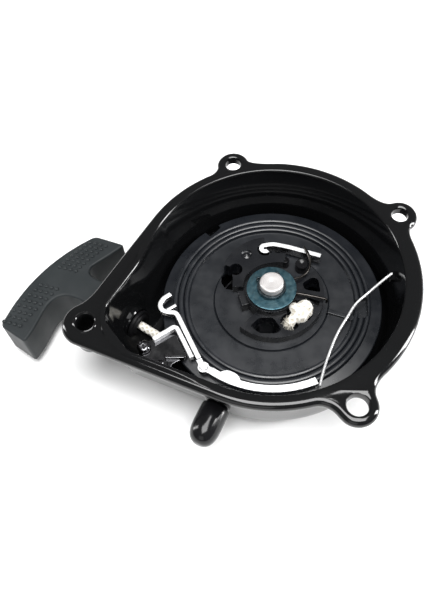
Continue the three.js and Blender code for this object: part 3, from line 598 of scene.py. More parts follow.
def corner_radius(theta, walls, corner):
    """How far the corner's walls reach from the axis in one direction."""
    for (fa, ra), (fb, rb) in zip(walls, walls[1:]):
        a = Vector(polar(1, fa))
        b = Vector(polar(1, fb))
        det = a.x * b.y - a.y * b.x
        ca, cb = ra - corner, rb - corner
        centre = Vector(((ca * b.y - cb * a.y) / det, (cb * a.x - ca * b.x) / det))
        first, last = [math.degrees(math.atan2(p.y, p.x)) % 360 for p in (centre + a * corner,
                                                                          centre + b * corner)]
        if first <= theta <= last:
            along = centre.dot(Vector(polar(1, theta)))
            return along + math.sqrt(max(corner ** 2 - centre.length_squared + along ** 2, 0))
    return min(r / math.cos(math.radians(theta - f)) for f, r in walls if abs(theta - f) < 80)


def outline(circle, walls, corner=CORNER_ROUND, blend=4.0):
    """The bowl's outline: a circle joined to the corner, with a soft hollow where they meet."""
    points = []
    for theta in ANGLES:
        r = circle
        if walls[0][0] < theta < walls[-1][0]:
            other = corner_radius(theta, walls, corner)
            if theta < 200:
                h = min(max(0.5 + 0.5 * (other - r) / blend, 0), 1)
                r = r + (other - r) * h + blend * h * (1 - h)
            else:
                r = max(r, other)
        points.append(polar(r, theta))
    return points


def walls_out(*offsets):
    """The corner's walls moved outwards, each by its own offset."""
    return tuple((facing, reach + offset) for (facing, reach), offset in zip(WALLS, offsets))


def smooth_step(value, low, high):
    t = min(max((value - low) / (high - low), 0), 1)
    return t * t * (3 - 2 * t)


def flange_radius(theta):
    """The flange's round edge stands out further on the right side."""
    wider = smooth_step(theta, -66, -52) - smooth_step(theta, 22, 36)
    return BOWL_RADIUS + FLANGE_WIDTH + FLANGE_WIDER * wider


def ear_outline(x, y, radius, hole, before, after):
    reach = math.hypot(x, y)
    facing = math.degrees(math.atan2(y, x))
    start, end = flange_radius(facing - before), flange_radius(facing + after)
    half = math.degrees(math.asin(radius / reach))
    first = quadratic(polar(start, facing - before), polar(start + 0.2, facing - 8.6),
                      polar(reach + 1, facing - half))
    last = quadratic(polar(reach + 1, facing + half), polar(end + 0.2, facing + 8.6),
                     polar(end, facing + after))
    return first + arc(x, y, radius, facing - 80, facing + 80, 6) + last


def flange_outline():
    """The flange's outer edge: a circle with three round ears, and straight sides to the corner ear."""
    facing = {math.degrees(math.atan2(ear[1], ear[0])): ear for ear in EARS}
    points = []
    done = set()
    for theta in np.arange(-109.5, 153.1, 1.5):
        inside = [ear for angle, ear in facing.items() if angle - ear[4] <= theta <= angle + ear[5]]
        if not inside:
            points.append(polar(flange_radius(theta), theta))
        elif inside[0] not in done:
            done.add(inside[0])
            points += ear_outline(*inside[0])
    crown = arc(*CORNER_EAR[:3], 124, 250.5, 5)
    return even(points + quadratic((-77, -9.8), (-80.4, -16.8), crown[0]) + crown)


def flange_top(x, y):
    """The flange's height: a little lower over the corner than round the bowl."""
    theta = math.degrees(math.atan2(y, x)) % 360
    return CASE_TOP - 0.7 * smooth_step(theta, 160, 174) * (1 - smooth_step(theta, 226, 244))


def on_flange(points, down=0.0):
    return [(x, y, flange_top(x, y) - down) for x, y in points]


# ------------------------------------------------------------------ case
# Inside and outside of the bowl, from the flange down: height, radius of the round part, how far
# the first two corner walls stand out from their place at the flange, and the third.
INSIDE = ((45.1, 57.55, 0.05, 0.05), (44.0, 57.45, 0, -0.05), (36, 56.7, -0.1, -0.8), (28, 55.8, -0.3, -1.8),
          (23, 55.2, -0.7, -2.6), (19, 54.8, -1.5, -3.4), (16, 54.4, -2.8, -4.2), (13.5, 54.1, -4.4, -5),
          (12.2, 53.8, -5.6, -5.8), (10.7, 52.9, -7.2, -7), (9.8, 51.7, -8.6, -8.6), (9.5, 50.6, -9.8, -10))
OUTSIDE = ((41.8, 60.05, 2.5, 2.55), (36, 59.5, 2.4, 1.8), (28, 58.6, 2.1, 0.6), (23, 58, 1.7, -0.2),
           (19, 57.5, 1.0, -0.8), (16, 57.1, -0.2, -1.4), (13.5, 56.6, -1.8, -2.2), (11, 55.6, -4, -3.8),
           (8.6, 53.8, -6, -6.4), (7.2, 51.4, -8, -8.4), (6.6, 49, -10, -10.5))
# The spring's dome and the post's socket below the bowl, as radius and height.
INSIDE_DOME = ((DOME + 1.0, 9.5), (DOME + 0.3, 9.2), (DOME, 8.4), (DOME, 4.6), (DOME - 0.5, 3.5),
               (DOME - 1.5, 3),
               (8.8, 3), (8.8, 5.6), (5.75, 5.6), (5.75, 2.9))
OUTSIDE_DOME = ((DOME + 4, 5.6), (DOME + 2.7, 5.1), (DOME + 2.4, 4.4), (DOME + 2.4, 2.2), (DOME + 1.9, 0.9),
                (DOME + 0.8, 0.15), (DOME, 0), (10, 0))


def bowl_ring(z, circle, back, third):
    return at_height(outline(circle, walls_out(back, back, third)), z)


def round_rings(rows):
    return [[(*polar(radius, a), z) for a in ANGLES] for radius, z in rows]


def flange_edge(points):
    """The flange's rounded edge, from its underside up to its top face."""
    rings = [at_height(inset(points, 1.2 * share), FLANGE_LOW + 1.2 * rise) for share, rise in quarter(3)]
    return rings + [on_flange(inset(points, EDGE_IN * share), EDGE_DOWN * drop)
                    for share, drop in reversed(quarter(7))]


def case_body():
    """The pressed bowl with its flange, and a chamfered hole through each ear."""
    outer = flange_edge(flange_outline())
    # Soft inner lip: from the flat flange down into the bowl.
    lip = []
    for share, drop in quarter(5):
        out = 0.95 * share + 0.05
        lip.append(bowl_ring(CASE_TOP - 0.9 * drop, BOWL_RADIUS + out, out, out))
    # A raised rim beside the lip; past it the corner of the flange lies a little lower.
    rim = outline(BOWL_RADIUS + 1.9, walls_out(2.4, 3.8, 1.9), 18)
    valley = outline(BOWL_RADIUS + 2.8, walls_out(3.2, 4.6, 2.8), 22)
    inside = lip + [bowl_ring(*row) for row in INSIDE] + round_rings(INSIDE_DOME)
    outside = [bowl_ring(*row) for row in OUTSIDE] + round_rings(OUTSIDE_DOME)
    parts = [skin(outer), skin(inside), skin([lip[0], at_height(rim, CASE_TOP), on_flange(valley)]),
             skin([r[::-1] for r in outside])]
    top = [level(outer[-1]), valley]
    low = [level(outer[0]), level(outside[0])]
    for x, y, _, hole in [ear[:4] for ear in EARS] + [CORNER_EAR]:
        wide, middle, tight = [arc(x, y, hole + out, 0, 360, 7)[:-1] for out in (1.1, 0.35, 0)]
        top.append(wide)
        low.append(tight)
        high = flange_top(x, y)
        parts.append(skin([on_flange(wide), at_height(middle, high - 0.35), at_height(tight, high - 1.2),
                           at_height(tight, FLANGE_LOW)]))
    parts.append(flat_region(top, flange_top, True))
    parts.append(flat_region(low, FLANGE_LOW, False))
    parts.append((outside[-1], [tuple(range(len(ANGLES)))[::-1]]))
    parts.append((inside[-1], [tuple(range(len(ANGLES)))]))
    return piece_from("case_housing", parts)


def case_details():
    """The corner ear's ring and deep boss, the cable nipple, the rope seat, ribs and pads."""
    x, y, _, hole = CORNER_EAR
    details = [
        lathe("ear_ring", [(hole + 0.1, 42), (5.4, 42), (5.4, 45.25), (5.1, 45.6), (4.6, 45.75), (4.2, 45.5),
                           (hole, 44.6)], 72, x, y),
        lathe("ear_boss", [(hole, 29), (6.6, 29), (6.9, 42), (hole, 42)], 64, x, y),
        disc("ear_floor", hole + 0.5, 31, 32, x, y)]
    nipple = lathe("nipple", [(0, 52), (5.6, 52), (5.6, 59.2), (5.2, 59.6), (4, 59.8), (4, 66), (0, 66)], 48)
    details.append(lay_along(nipple, INLET_DIRECTION, (0, 0, INLET_HEIGHT)))
    details.append(on_rope(lathe("seat", [
        (5.7, OUTLET - 3.6), (7.7, OUTLET - 3.6), (8.2, OUTLET - 3.1), (8.2, OUTLET + 2.8),
                                          (7.8, OUTLET + 3.1),
        (5.7, OUTLET + 3.1)], 64)))
    tab = rounded([(53.4, 6.4), (58, 6.9), (57.2, 11.6), (53, 10.6)], 0.8)
    details.append(prism("tab", tab, WIRE_ANCHOR - 3.5, WIRE_ANCHOR - 1.4))
    for px, py in BRACKET_SCREWS:
        details.append(lathe("pad", [(1.8, 13), (2.8, 13), (3.2, 15), (3.2, 22.1), (1.8, 22.1)], 32, px, py))
    rib = prism("rib", [(0, 0), (9.5, 0), (6, -7.5), (4.2, -8)], -1.1, 1.1)
    turn = Matrix.Rotation(math.radians(152), 4, "Z") @ Matrix.Rotation(math.radians(90), 4, "X")
    details.append(place(rib, Matrix.Translation(Vector((-52, -47.5, 43)) * MM) @ turn))
    # Stiffening ribs between the dome and the bowl's outer wall, on the back.
    for angle in range(15, 360, 30):
        line = [polar(DOME + 1.5, angle), polar(51.5, angle)]
        details.append(prism("back_rib", strip(line, 1.6), 4.0, 8.5))
    return details


ready(shaded(merge(case_body(), case_details())), "housing", PAINT, "black_paint", "case_shell")


# ------------------------------------------------------------------ reel
KNOT = (13.3, -8.7)
KNOT_LOBE = (8.9, -14.4)
LEAD_HOLE = (14.4, -9.6)
LEAD_DIRECTION = -25
PAWL_PIVOT = (-3.8, 24.6)
HUB_LOW = 21.9
HUB_TOP = 27.5
HUB_RADIUS = 26.3
EMPTY_SEAT = ((-18.8, 11), (-18.4, 4), (-21.8, 4.6), (-24, 8), (-24.2, 12.4), (-22, 14.8), (-18, 13.4))
FAN_LOWER = ((-5, -12.9), (1.2, -12.6), (5.4, -18.3), (3, -20.6), (-4.6, -20.8), (-9, -17.2))
FAN_RIGHT = ((14.2, 6.2), (19, 9.8), (21.6, 8.6), (22.6, 1.6), (15.2, 2.9))
FAN_SMALL = ((16, -1.2), (22.4, -3.2), (21.4, -6.2), (19.2, -4))


def window_tools():
    return [prism("window", rounded(shape, 1.3), 7.4, 28.5) for shape in (FAN_LOWER, FAN_RIGHT)]


def knot_tools():
    return [disc("pocket", 5.9, 20, 32.2, *KNOT, 56), disc("pocket", 4.4, 20, 32.2, *KNOT_LOBE, 48)]


def empty_seat_tools(low, high):
    """The second pawl's seat, which is left empty."""
    return [disc("empty", 3.2, low, high, -17.2, 12.6), prism("empty", EMPTY_SEAT, low, high)]


def crest(outer, inner, top=23.4):
    """The rounded top of a ridge that runs round the reel."""
    return [(outer, top - 0.8), (outer - 0.2, top - 0.25), (outer - 0.7, top), (inner + 0.7, top),
            (inner + 0.2, top - 0.25), (inner, top - 0.8)]


def reel_base():
    """The moulded reel: skirt, hollow web, rope groove, three raised ridges and the hub's disc."""
    skirt = [(7.2, 6), (11.5, 6), (12, 6.5), (12, 11.2), (14, 11.2), (14, 19), (36.5, 19), (36.5, 11.2),
             (49.7, 11.2),
             (50.3, 11.8), (50.3, 12.8), (38.5, 13), (38.5, 19.4), (51.5, 19.4), (51.5, 19.9), (51.1, 20.4),
             (46.3, 21.2)]
    ridges = crest(46, 43.9) + [(43.7, 22.2)] + crest(43.5, 41.2) + [(41, 22.2)] + crest(40.8, 38.7)
    web = [(38.4, 21.5), (27.2, 21.5), (26.9, 21.1), (26.6, 21.5), (26.4, 22.4), (11.9, 22.4), (11.9, 28.4),
           (7.2, 28.4)]
    base = lathe("reel_moulding", skirt + ridges + web, 180)
    notch = rounded([(-37.5, 41.5), (-31.6, 47.2), (-26.4, 41.4), (-31.4, 35.4)], 1)
    pocket = rounded([(38.6, 0.6), (44.4, 2.2), (44.6, -7.4), (40.4, -9.2)], 1)
    ends = [(*polar(r, LEAD_DIRECTION), 16.2) for r in (33, 43)]
    tools = [prism("notch", notch, 18.4, 24.2), prism("ridge_pocket", pocket, 20.7, 24.2),
             tube("lead", ends, 2.4, 24), disc("lead", 2.9, 18, 21, *LEAD_HOLE, 36)]
    return bevelled(combine(base, tools + empty_seat_tools(14, 24) + window_tools() + knot_tools()), 0.22)


def pawl_boss():
    """The raised crescent that carries the pawl, with its pockets and a moulded dimple."""
    outer = smooth_line([(-22.6, 11.2), (-22.9, 14.6), (-21.6, 19), (-18.4, 23.6), (-14.2, 27.4), (-9.6, 30),
                         (-6, 31.2), (-3.4, 31.3)], 4)
    inner = smooth_line([(5.2, 17.4), (0.2, 17.2), (-5.2, 15.6), (-9.6, 12.4), (-12.4, 8.6), (-13.4, 3.2)], 4)
    boss = prism("pawl_boss", outer + [(-3.2, 28.6), (6.2, 22.6)] + inner + [(-18, 2.8), (-18.4, 8.6)],
                 HUB_LOW, HUB_TOP)
    dimple = lathe("dimple", [(0, 27.45), (0.8, 26.7), (1.9, 26.4), (2.5, 26.8), (2.8, 28), (0, 28)], 48,
                   -12.6, 21.4)
    arm = [(-4.4, 33), (9, 33), (9, 22.4), (1.4, 22.7), (0.2, 23.8), (-4.2, 24.4)]
    tools = [disc("curl", 3.7, 22.8, 28.5, *PAWL_PIVOT), prism("arm", arm, 22.8, 28.5)]
    return bevelled(combine(boss, tools + empty_seat_tools(21, 28.5) + [dimple]), 0.22)


def hub_fan():
    """The raised fan that holds the rope's knot."""
    shape = arc(0.8, 0.6, 23.4, -128, 24, 2) + [(20.4, 13.6), (11.4, 7.6)] + arc(0, 0, 11, 30, -122, 4)
    fan = prism("hub_fan", shape, HUB_LOW, HUB_TOP)
    small = prism("window", rounded(FAN_SMALL, 0.8), 23, 28.5)
    return bevelled(combine(fan, window_tools() + knot_tools() + [small]), 0.25)


def pawl_rests():
    """The two small posts beside the pawl, with dished tops."""
    rests = []
    for x, y, radius in ((13.9, 17.4, 3.1), (5.9, 19.2, 2.0)):
        rests.append(lathe("rest", [(0, HUB_LOW), (radius, HUB_LOW), (radius, 26.6), (radius - 0.3, 27.0),
                                    (radius - 0.6, 27.05), (radius * 0.45, 26.5), (0, 26.35)], 56, x, y))
    return merge(rests[0], rests[1:])


def hub_small_parts():
    """The collar, its lug, and the rib across the web."""
    collar = combine(prism("collar", sector(10.9, 11.9, 150, 338), 27.9, 31.2), knot_tools())
    lug = prism("lug", [(-15.6, 0.4), (-11.2, 1), (-9.6, -6), (-13.2, -7.4)], HUB_LOW, 28.1)
    rib = prism("rib", strip([(26.2, -5.3), (38.6, -8.8)], 2.2), 21.1, 22.9)
    knob = lathe("knob", [(0, 21.1), (1.5, 21.1), (1.5, 22.7), (1.2, 23), (0, 23)], 32, 37, -8.4)
    return [bevelled(collar, 0.2), bevelled(lug, 0.25), bevelled(rib, 0.3), knob]


def on_hub(face):
    return face.center.z > (HUB_LOW + 0.7) * MM and face.center.xy.length < HUB_RADIUS * MM


reel = crisp(merge(reel_base(), [pawl_boss(), hub_fan()] + hub_small_parts()))
# Faces of the raised hub take the darker copy of the plastic: painted shade.
second_material(ready(reel, "reel", CHARCOAL, "charcoal_plastic", "reel"), HUB_SHADED_PLASTIC, on_hub)
ready(crisp(pawl_rests()), "reel", VINYL, "charcoal_plastic")


# ------------------------------------------------------------------ post, washer, snap ring, bushing, spring
def snap_ring_piece():
    """An open ring with a drilled lug at each end."""
    band = prism("snap_clip", sector(4.75, 6.55, 150, 430, 2.5), 33.3, 34.5)
    combine(band, [disc("lug", 1.25, 33.3, 34.5, *polar(6.8, a), 36) for a in (70, 150)], "UNION")
    combine(band, [disc("hole", 0.5, 33, 35, *polar(6.95, a), 24) for a in (70, 150)])
    return bevelled(band, 0.12, 2)


def spring_strip():
    """The recoil spring: a thin strip in an even spiral."""
    line = [polar(13 + 23.1 * k / 432, 5 * k) for k in range(433)]
    return prism("recoil_strip", strip(line, 0.7), 3.4, 9.4)


post = lathe("axle_post", [(0, 3.3), (5.45, 3.3), (5.45, 33), (4.45, 33), (4.45, 34.8), (5.45, 34.8), (5.45,
                                                                                                       37.3),
                           (5.3, 37.65), (4.9, 37.95), (4.5, 38), (1.0, 37.98), (0.5, 37.9), (0, 37.85)], 128)
ready(crisp(post, 50), "housing", STEEL, "steel", "center_post")

washer = lathe("axle_washer", [(5.75, 31.6), (11.1, 31.6), (11.35, 31.75), (11.4, 32.2), (11.35, 32.65),
                               (11.1, 32.8),
                               (5.95, 32.8), (5.75, 32.6)], 128)
ready(crisp(washer, 50), "housing", BLUE_ZINC, "blue_zinc", "retaining_washer")
ready(crisp(snap_ring_piece()), "housing", CLIP_STEEL, "bright_zinc", "snap_ring")

bushing = lathe("axle_bushing", [(5.75, 6.2), (6.6, 6.2), (6.9, 6.5), (6.9, 27.9), (6.6, 28.2), (5.75, 28.2)])
ready(crisp(bushing, 50), "reel", BRONZE, "bronze", "reel_bushing")
ready(crisp(spring_strip()), "housing", SPRING_STEEL, "spring_steel", "recoil_spring")


# ------------------------------------------------------------------ pawl and friction spring
def pawl_piece():
    """A strip on edge: a curl round its pivot, then a straight arm with a dropped tip."""
    curl = arc(*PAWL_PIVOT, 1.75, 318, 78, 8)
    arm = smooth_line([(-3.4, 26.55), (-0.6, 27.0), (1.8, 26.85), (8, 25.6)], 5)[1:]
    return bevelled(prism("pawl_arm", strip(curl + arm + [(22.6, 21.3)], 2.1), 23.6, 28.3), 0.3, 4)


def hook_radius(share):
    """The hooked arm swells over the pawl and thins at its tip."""
    swell = 0.2 * math.sin(math.pi * min((share - 0.62) / 0.38, 1)) if share >= 0.62 else 0
    return 0.62 + swell - 0.32 * max((share - 0.85) / 0.15, 0)


def friction_spring_piece():
    """Two turns of wire round the axle, one straight arm, and one that hooks over the pawl."""
    h = 29.6
    turns = [(*polar(9.6, a), h + 0.65 * (a + 2) / 720) for a in range(-2, 719, 8)]
    arm = smooth_line([(*polar(9.6, -2), h), (15, -1.2, h), (20, -2.1, h), (23.4, -2.8, h),
                       (24.8, -3.1, h - 0.2),
                       (25.3, -3.2, h - 1.2), (25.35, -3.25, h - 2.6)], 5)
    hook = smooth_line([(*polar(9.6, 34), h + 0.5), (11.2, 7.3, h + 0.3), (13.2, 8.2, h), (15.4, 10, h),
                        (17.0, 12.8, h), (17.6, 16.2, h), (17.2, 19.2, h), (16.2, 22.0, h), (14.6, 25.4, h)],
                       6)
    return merge(tube("coil", turns, 0.6, 12), [tube("arm", arm, 0.6, 12), tube("hook", hook, hook_radius,
                                                                                12)])


pawl = ready(crisp(pawl_piece()), "pawl", ZINC, "bright_zinc", "pawl")
# The pawl's upright sides take the darker zinc: painted shade.
second_material(pawl, ZINC_SIDE_SHADE, on_upright_side)
ready(crisp(friction_spring_piece(), 60), "friction_spring", DARK_WIRE, "steel", "friction_spring")


# ------------------------------------------------------------------ rope
def spaced(points, step):
    """Points at even distances along a route, and the route's length."""
    route = [Vector(p) for p in points]
    lengths = [0.0]
    for a, b in zip(route, route[1:]):
        lengths.append(lengths[-1] + (b - a).length)
    count = max(8, int(lengths[-1] / step))
    line, k = [], 0
    for i in range(count + 1):
        want = lengths[-1] * i / count
        while k < len(route) - 2 and lengths[k + 1] < want:
            k += 1
        share = (want - lengths[k]) / max(lengths[k + 1] - lengths[k], 1e-9)
        line.append(route[k].lerp(route[k + 1], share))
    return line, lengths[-1]


def rope(name, points, radius=2.0, sides=20, step=0.45):
    """A cord along a route, with its length and its girth as texture coordinates."""
    line, length = spaced(points, step)
    rings = []
    for i, (p, normal, other) in enumerate(frames(line)):
        along = 2 * math.pi * length * i / (len(line) - 1) / BRAID_PITCH
        ring = []
        for a in [2 * math.pi * s / sides for s in range(sides)]:
            # Strands of the braid stand a little proud of each other.
            proud = max(math.sin(along + BRAID_STRANDS * a), math.sin(along - BRAID_STRANDS * a))
            ring.append(p + (normal * math.cos(a) + other * math.sin(a)) * radius * (0.95 + 0.05 * proud))
        rings.append(ring)
    verts, faces = skin(rings)
    faces += [tuple(range(sides))[::-1], tuple(range(len(verts) - sides, len(verts)))]
    piece = new_piece(name, verts, faces)
    layer = piece.data.uv_layers.new(name="UVMap")
    for polygon in piece.data.polygons:
        seam = len(polygon.vertices) == 4 and polygon.index % sides == sides - 1
        for loop in polygon.loop_indices:
            v = piece.data.loops[loop].vertex_index
            around = 1.0 if seam and v % sides == 0 else (v % sides) / sides
            layer.data[loop].uv = (length * (v // sides) / (len(line) - 1), around)
    return smooth(piece)


def scatter(*spreads):
    return Vector([rng.gauss(0, spread) for spread in spreads])


def fibres(name, at, aim, spread, count, length, radius=0.09):
    """Loose yarn ends that leave one place in a soft brush."""
    pieces = []
    aim = Vector(aim).normalized()
    for _ in range(count):
        out = scatter(1, 1, 1).normalized()
        way = (aim + out * spread * rng.random()).normalized()
        start = Vector(at) + out * 1.3 * rng.random()
        reach = length * (0.5 + 0.7 * rng.random())
        bend = (scatter(1, 1, 1) - Vector((0, 0, 0.5))) * 0.22 * reach
        line = [tuple(start + way * reach * t + bend * t * t) for t in (0, 0.35, 0.7, 1)]
        pieces.append(tube(name, line, lambda t: radius * (1 - 0.5 * t), 5))
    return merge(pieces[0], pieces[1:])


def fuzz(route, count):
    """Short single hairs that stand off a cord."""
    hairs = []
    for _ in range(count):
        point = Vector(rng.choice(route))
        out = scatter(1, 1, 1)
        out.z = abs(out.z)
        out.normalize()
        side = scatter(1, 1, 0.6) * 0.5
        root = point + out * 1.9
        line = [tuple(root), tuple(root + out * 0.5 + side * 0.5), tuple(root + out * 0.7 + side)]
        hairs.append(tube("fuzz", line, 0.055, 4))
    return hairs


def overhand(degrees, x, y, z, size, depth):
    """A point on a closed overhand knot about a centre."""
    t = math.radians(degrees)
    return (x + size * (math.sin(t) + 2 * math.sin(2 * t)), y + size * (math.cos(t) - 2 * math.cos(2 * t)),
            z - depth * math.sin(3 * t))


def knot_piece():
    """An overhand knot drawn tight in the hub's pocket, with its frayed end beside it."""
    loop = [overhand(-100 + 4.55 * k, KNOT[0] + 0.5, KNOT[1], 27.2, 1.22, 1.8) for k in range(73)]
    x, y = LEAD_HOLE
    middle = (Vector((x, y, 22.4)) + Vector(loop[0])) / 2
    start = smooth_line([(x, y, 20.3), (x + 0.4, y - 0.5, 22.4), middle, loop[0]], 5)
    end = smooth_line([loop[-1], (11.4, -11.6, 27.8), (10.2, -12.8, 27.2), (8.7, -14.4, 25.6)], 5)
    route = start[:-1] + loop + end[1:]
    knot = rope("rope_knot_tied", route, 2.35, 20, 0.4)
    brush = fibres("fray", (9.0, -14.2, 25.9), (-0.5, -0.6, 0.5), 1.1, 230, 2.9)
    return smooth(merge(knot, [brush] + fuzz(route[12:], 150)))


ready(knot_piece(), "reel", ROPE, "rope_cord", "rope_knot")

lead_route = smooth_line([(*LEAD_HOLE, 20.0), (LEAD_HOLE[0] + 0.3, LEAD_HOLE[1] - 0.1, 17.8),
                          (*polar(19.5, LEAD_DIRECTION - 2), 16.5), (*polar(26, LEAD_DIRECTION), 16.2),
                          (*polar(38.2, LEAD_DIRECTION), 16.2)], 8)
ready(rope("rope_lead_in", lead_route), "reel", ROPE, "rope_cord", "rope_lead")

wound = [(*polar(40.9 + 1.25 * k / 180, LEAD_DIRECTION - 2 * k), 16.2 + 0.85 * math.sin(k / 28.6))
         for k in range(470)]
ready(rope("rope_wound", wound, 1.95, 14, 1.2), "reel", ROPE, "rope_cord", "rope_coil")

pulled = rope("rope_pulled", [(*rope_place(19.5), ROPE_HEIGHT), (*rope_place(86), ROPE_HEIGHT)])
ready(pulled, None, ROPE, "rope_cord", "rope_run")


# ------------------------------------------------------------------ rope guide and interlock
STRIP_LOW = 23.9
STRIP_HIGH = 26.6
LEVER_PIN = (-28.6, -38.2)
LEVER_RADIUS = 46.9

guide = lathe("outlet_guide", [(3.2, 46.3), (3.6, 46.1), (4.6, 46.1), (5.2, 46.4), (5.5, 47.0), (5.7, 47.2),
                               (6.8, 47.2),
                               (7.0, 47.4), (7.0, 48.5), (6.8, 48.7), (5.4, 48.75), (5.4, 55.7), (5.1, 56),
                               (3.9, 56),
                               (3.3, 55.7), (2.95, 55.1), (2.9, 54.4), (2.9, 47.0)])
ready(crisp(on_rope(guide), 50), "housing", GUIDE_SHADED_PLASTIC, "charcoal_plastic", "rope_guide")


def bracket_foot():
    """The bracket's flat foot, which lies over the rope and takes the two screws."""
    foot = rounded([(-60, -28.6), (-54.6, -24.4), (-52, -25), (-45.8, -21), (-42.6, -21.2), (-36.6, -32.2),
                    (-42.8, -36), (-45.2, -41.6), (-50.4, -41)], 1.4)[::-1]
    low, high = 22.4, 23.6
    rings = round_edge(foot, 0.35, low, high)
    wide, tight = [[arc(x, y, r, 0, 360, 9)[:-1] for x, y in BRACKET_SCREWS] for r in (2.15, 1.9)]
    parts = [skin(rings)]
    for outer, inner in zip(wide, tight):
        parts.append(skin([at_height(outer, high), at_height(inner, high - 0.25), at_height(inner, low)]))
    parts.append(flat_region([level(rings[-1])] + wide, high, True))
    parts.append(flat_region([level(rings[0])] + tight, low, False))
    leg = plate("bracket_leg", strip([(-46.4, -33.2), (-37.6, -32.8)], 2.0), 22.6, STRIP_HIGH - 1, 0.4)
    return merge(piece_from("bracket_foot", parts), [leg])


def bracket_wall():
    """The strip that stands up along the foot's edge."""
    bend = smooth_line([(-52.6, -25.4), (-45.8, -20.3), (-43.9, -18.9), (-42.4, -19.3), (-41.4, -20.6)], 5)
    return plate("bracket_walls", strip(bend + [(-34.2, -33.6)], 2.0), 23.4, STRIP_HIGH, 0.5)


def screw_piece(name, x, y, turned):
    """A pan-head screw with a cross recess."""
    screw = lathe(name, [(0, 16.4), (1.1, 16.4), (1.5, 16.9), (1.5, 24.3), (3.1, 24.3), (3.1, 25.1), (2.95,
                                                                                                      25.6),
                         (2.5, 26.05), (1.6, 26.25), (0, 26.3)], 64, x, y)
    bars = []
    for a in (turned, turned + 90):
        dx, dy = polar(1.7, a)
        bars.append(prism("recess", strip([(x - dx, y - dy), (x + dx, y + dy)], 0.62), 25.3, 27))
    return bevelled(combine(screw, bars), 0.08, 2, 40)


def hook_piece():
    """The fixed strip beside the lever: a hooked end, a spur, and an eye under the lever."""
    curve = smooth_line([(-46.8, -1.4), (-50, -4.2), (-51.2, -7.4), (-50, -10.2), (-47, -11.2),
                         (-44.6, -11.3),
                         (-43.2, -12.0), (-42.3, -13.2)], 6)
    main = plate("hook_main", strip(curve + [(-30.9, -34)], 2.5), STRIP_LOW, STRIP_HIGH, 0.6)
    spur = plate("hook_spur", strip([(-48, -10), (-43.8, -7)], 1.6), STRIP_LOW, STRIP_HIGH - 0.6, 0.4)
    eye = prism("hook_eye", strip([(-31.4, -33.1), LEVER_PIN], 2.5), 23.6, 24.9)
    combine(eye, [disc("round", 2.4, 23.6, 24.9, *LEVER_PIN, 56)], "UNION")
    combine(eye, [disc("bore", 1.2, 23, 26, *LEVER_PIN, 40)])
    return merge(main, [spur, bevelled(eye, 0.2)])


def lever_piece():
    """The lever: an eye on its pin, an arc beside the reel, one rounded tooth and a folded end."""
    edges = LEVER_RADIUS - 1.6, LEVER_RADIUS + 1.6
    blade = prism("lever_blade", sector(*edges, -122.5, -63.5, 1.5), STRIP_LOW, STRIP_HIGH)
    tooth = [polar(LEVER_RADIUS - deep, angle) for deep, angle in (
        (1, -118.5), (2.1, -117), (3.2, -115.6), (3.9, -114), (4, -111.5), (3.8, -109), (3.2, -107.2),
                                                                   (2.1, -105.8),
        (1, -104.5))]
    combine(blade, [prism("tooth", smooth_line(tooth, 4), STRIP_LOW, STRIP_HIGH),
                    prism("neck", strip([LEVER_PIN, polar(LEVER_RADIUS, -121)], 3), STRIP_LOW, STRIP_HIGH),
                    disc("eye", 2.5, STRIP_LOW, STRIP_HIGH, *LEVER_PIN, 56)], "UNION")
    combine(blade, [disc("low", 3.4, 22.9, 25.2, *LEVER_PIN, 56), disc("bore", 1.2, 22.9, 27.6, *LEVER_PIN,
                                                                       40),
                    prism("clear", strip([(-34, -28), (-30.1, -35.4)], 3.7), 22.9, 25.2)])
    return bevelled(blade, 0.45, 4)


# The bracket's foot takes the darkened zinc, painted shade; its standing strip stays bright.
ready(crisp(bracket_foot()), "housing", ZINC_PAINTED_SHADE, "bright_zinc", "lock_bracket")
ready(crisp(bracket_wall()), "housing", ZINC, "bright_zinc")
# The screw heads take the darkened zinc too: painted shade, with glints from their domes.
for number, ((x, y), turned) in enumerate(zip(BRACKET_SCREWS, (20, 65)), 1):
    screw = crisp(screw_piece(f"pan_screw_{number}", x, y, turned), 45)
    ready(screw, "housing", ZINC_PAINTED_SHADE, "bright_zinc", f"bracket_screw_{number}")
hook = ready(crisp(hook_piece()), "housing", ZINC, "bright_zinc", "hook_strip")
# The hook strip's upright sides take the darker zinc: painted shade.
second_material(hook, ZINC_SIDE_SHADE, on_upright_side)
lever = ready(crisp(lever_piece()), "lock_lever", ZINC, "bright_zinc", "lock_lever")
# The lever's upright sides take the darker zinc: painted shade.
second_material(lever, ZINC_SIDE_SHADE, on_upright_side)

pin = lathe("lever_rivet", [(0, 23.6), (0.9, 23.6), (0.9, 26.9), (1.7, 26.9), (1.65, 27.15), (1.35, 27.35),
                            (0, 27.4)],
            48, *LEVER_PIN)
ready(crisp(pin, 50), "housing", ZINC, "bright_zinc", "lever_pin")

wire_line = [(22.4, -44.1, 25.3), (22.9, -41.5, 25.3), (24.2, -36, 25.5), (26.2, -29.4, 25.8),
             (29.4, -20.6, 26.3),
             (32.2, -14.8, 26.6), (34.9, -10, 26.9), (37.2, -5.8, 27.2), (39.5, -2.7, 27.6), (43, 0.3, 28.8),
             (46.9, 3.5, 30.6), (51.2, 6.7, 33.1), (54.2, 8.9, WIRE_ANCHOR)]
wire = crisp(tube("return_wire_bent", smooth_line(wire_line), 0.6), 60)
ready(wire, None, WIRE, "bright_zinc", "return_wire")


# ------------------------------------------------------------------ grip
GRIP_START = 56.6
GRIP_LENGTH = 44.0
HALF_THICK = 10.5
# The two fields of bumps: first and last row, and the outer column's start and end.
GRIP_PADS = ((12.1, 36.5, 39.1, 40.7), (-0.7, -19.8, 38.0, 34.7))


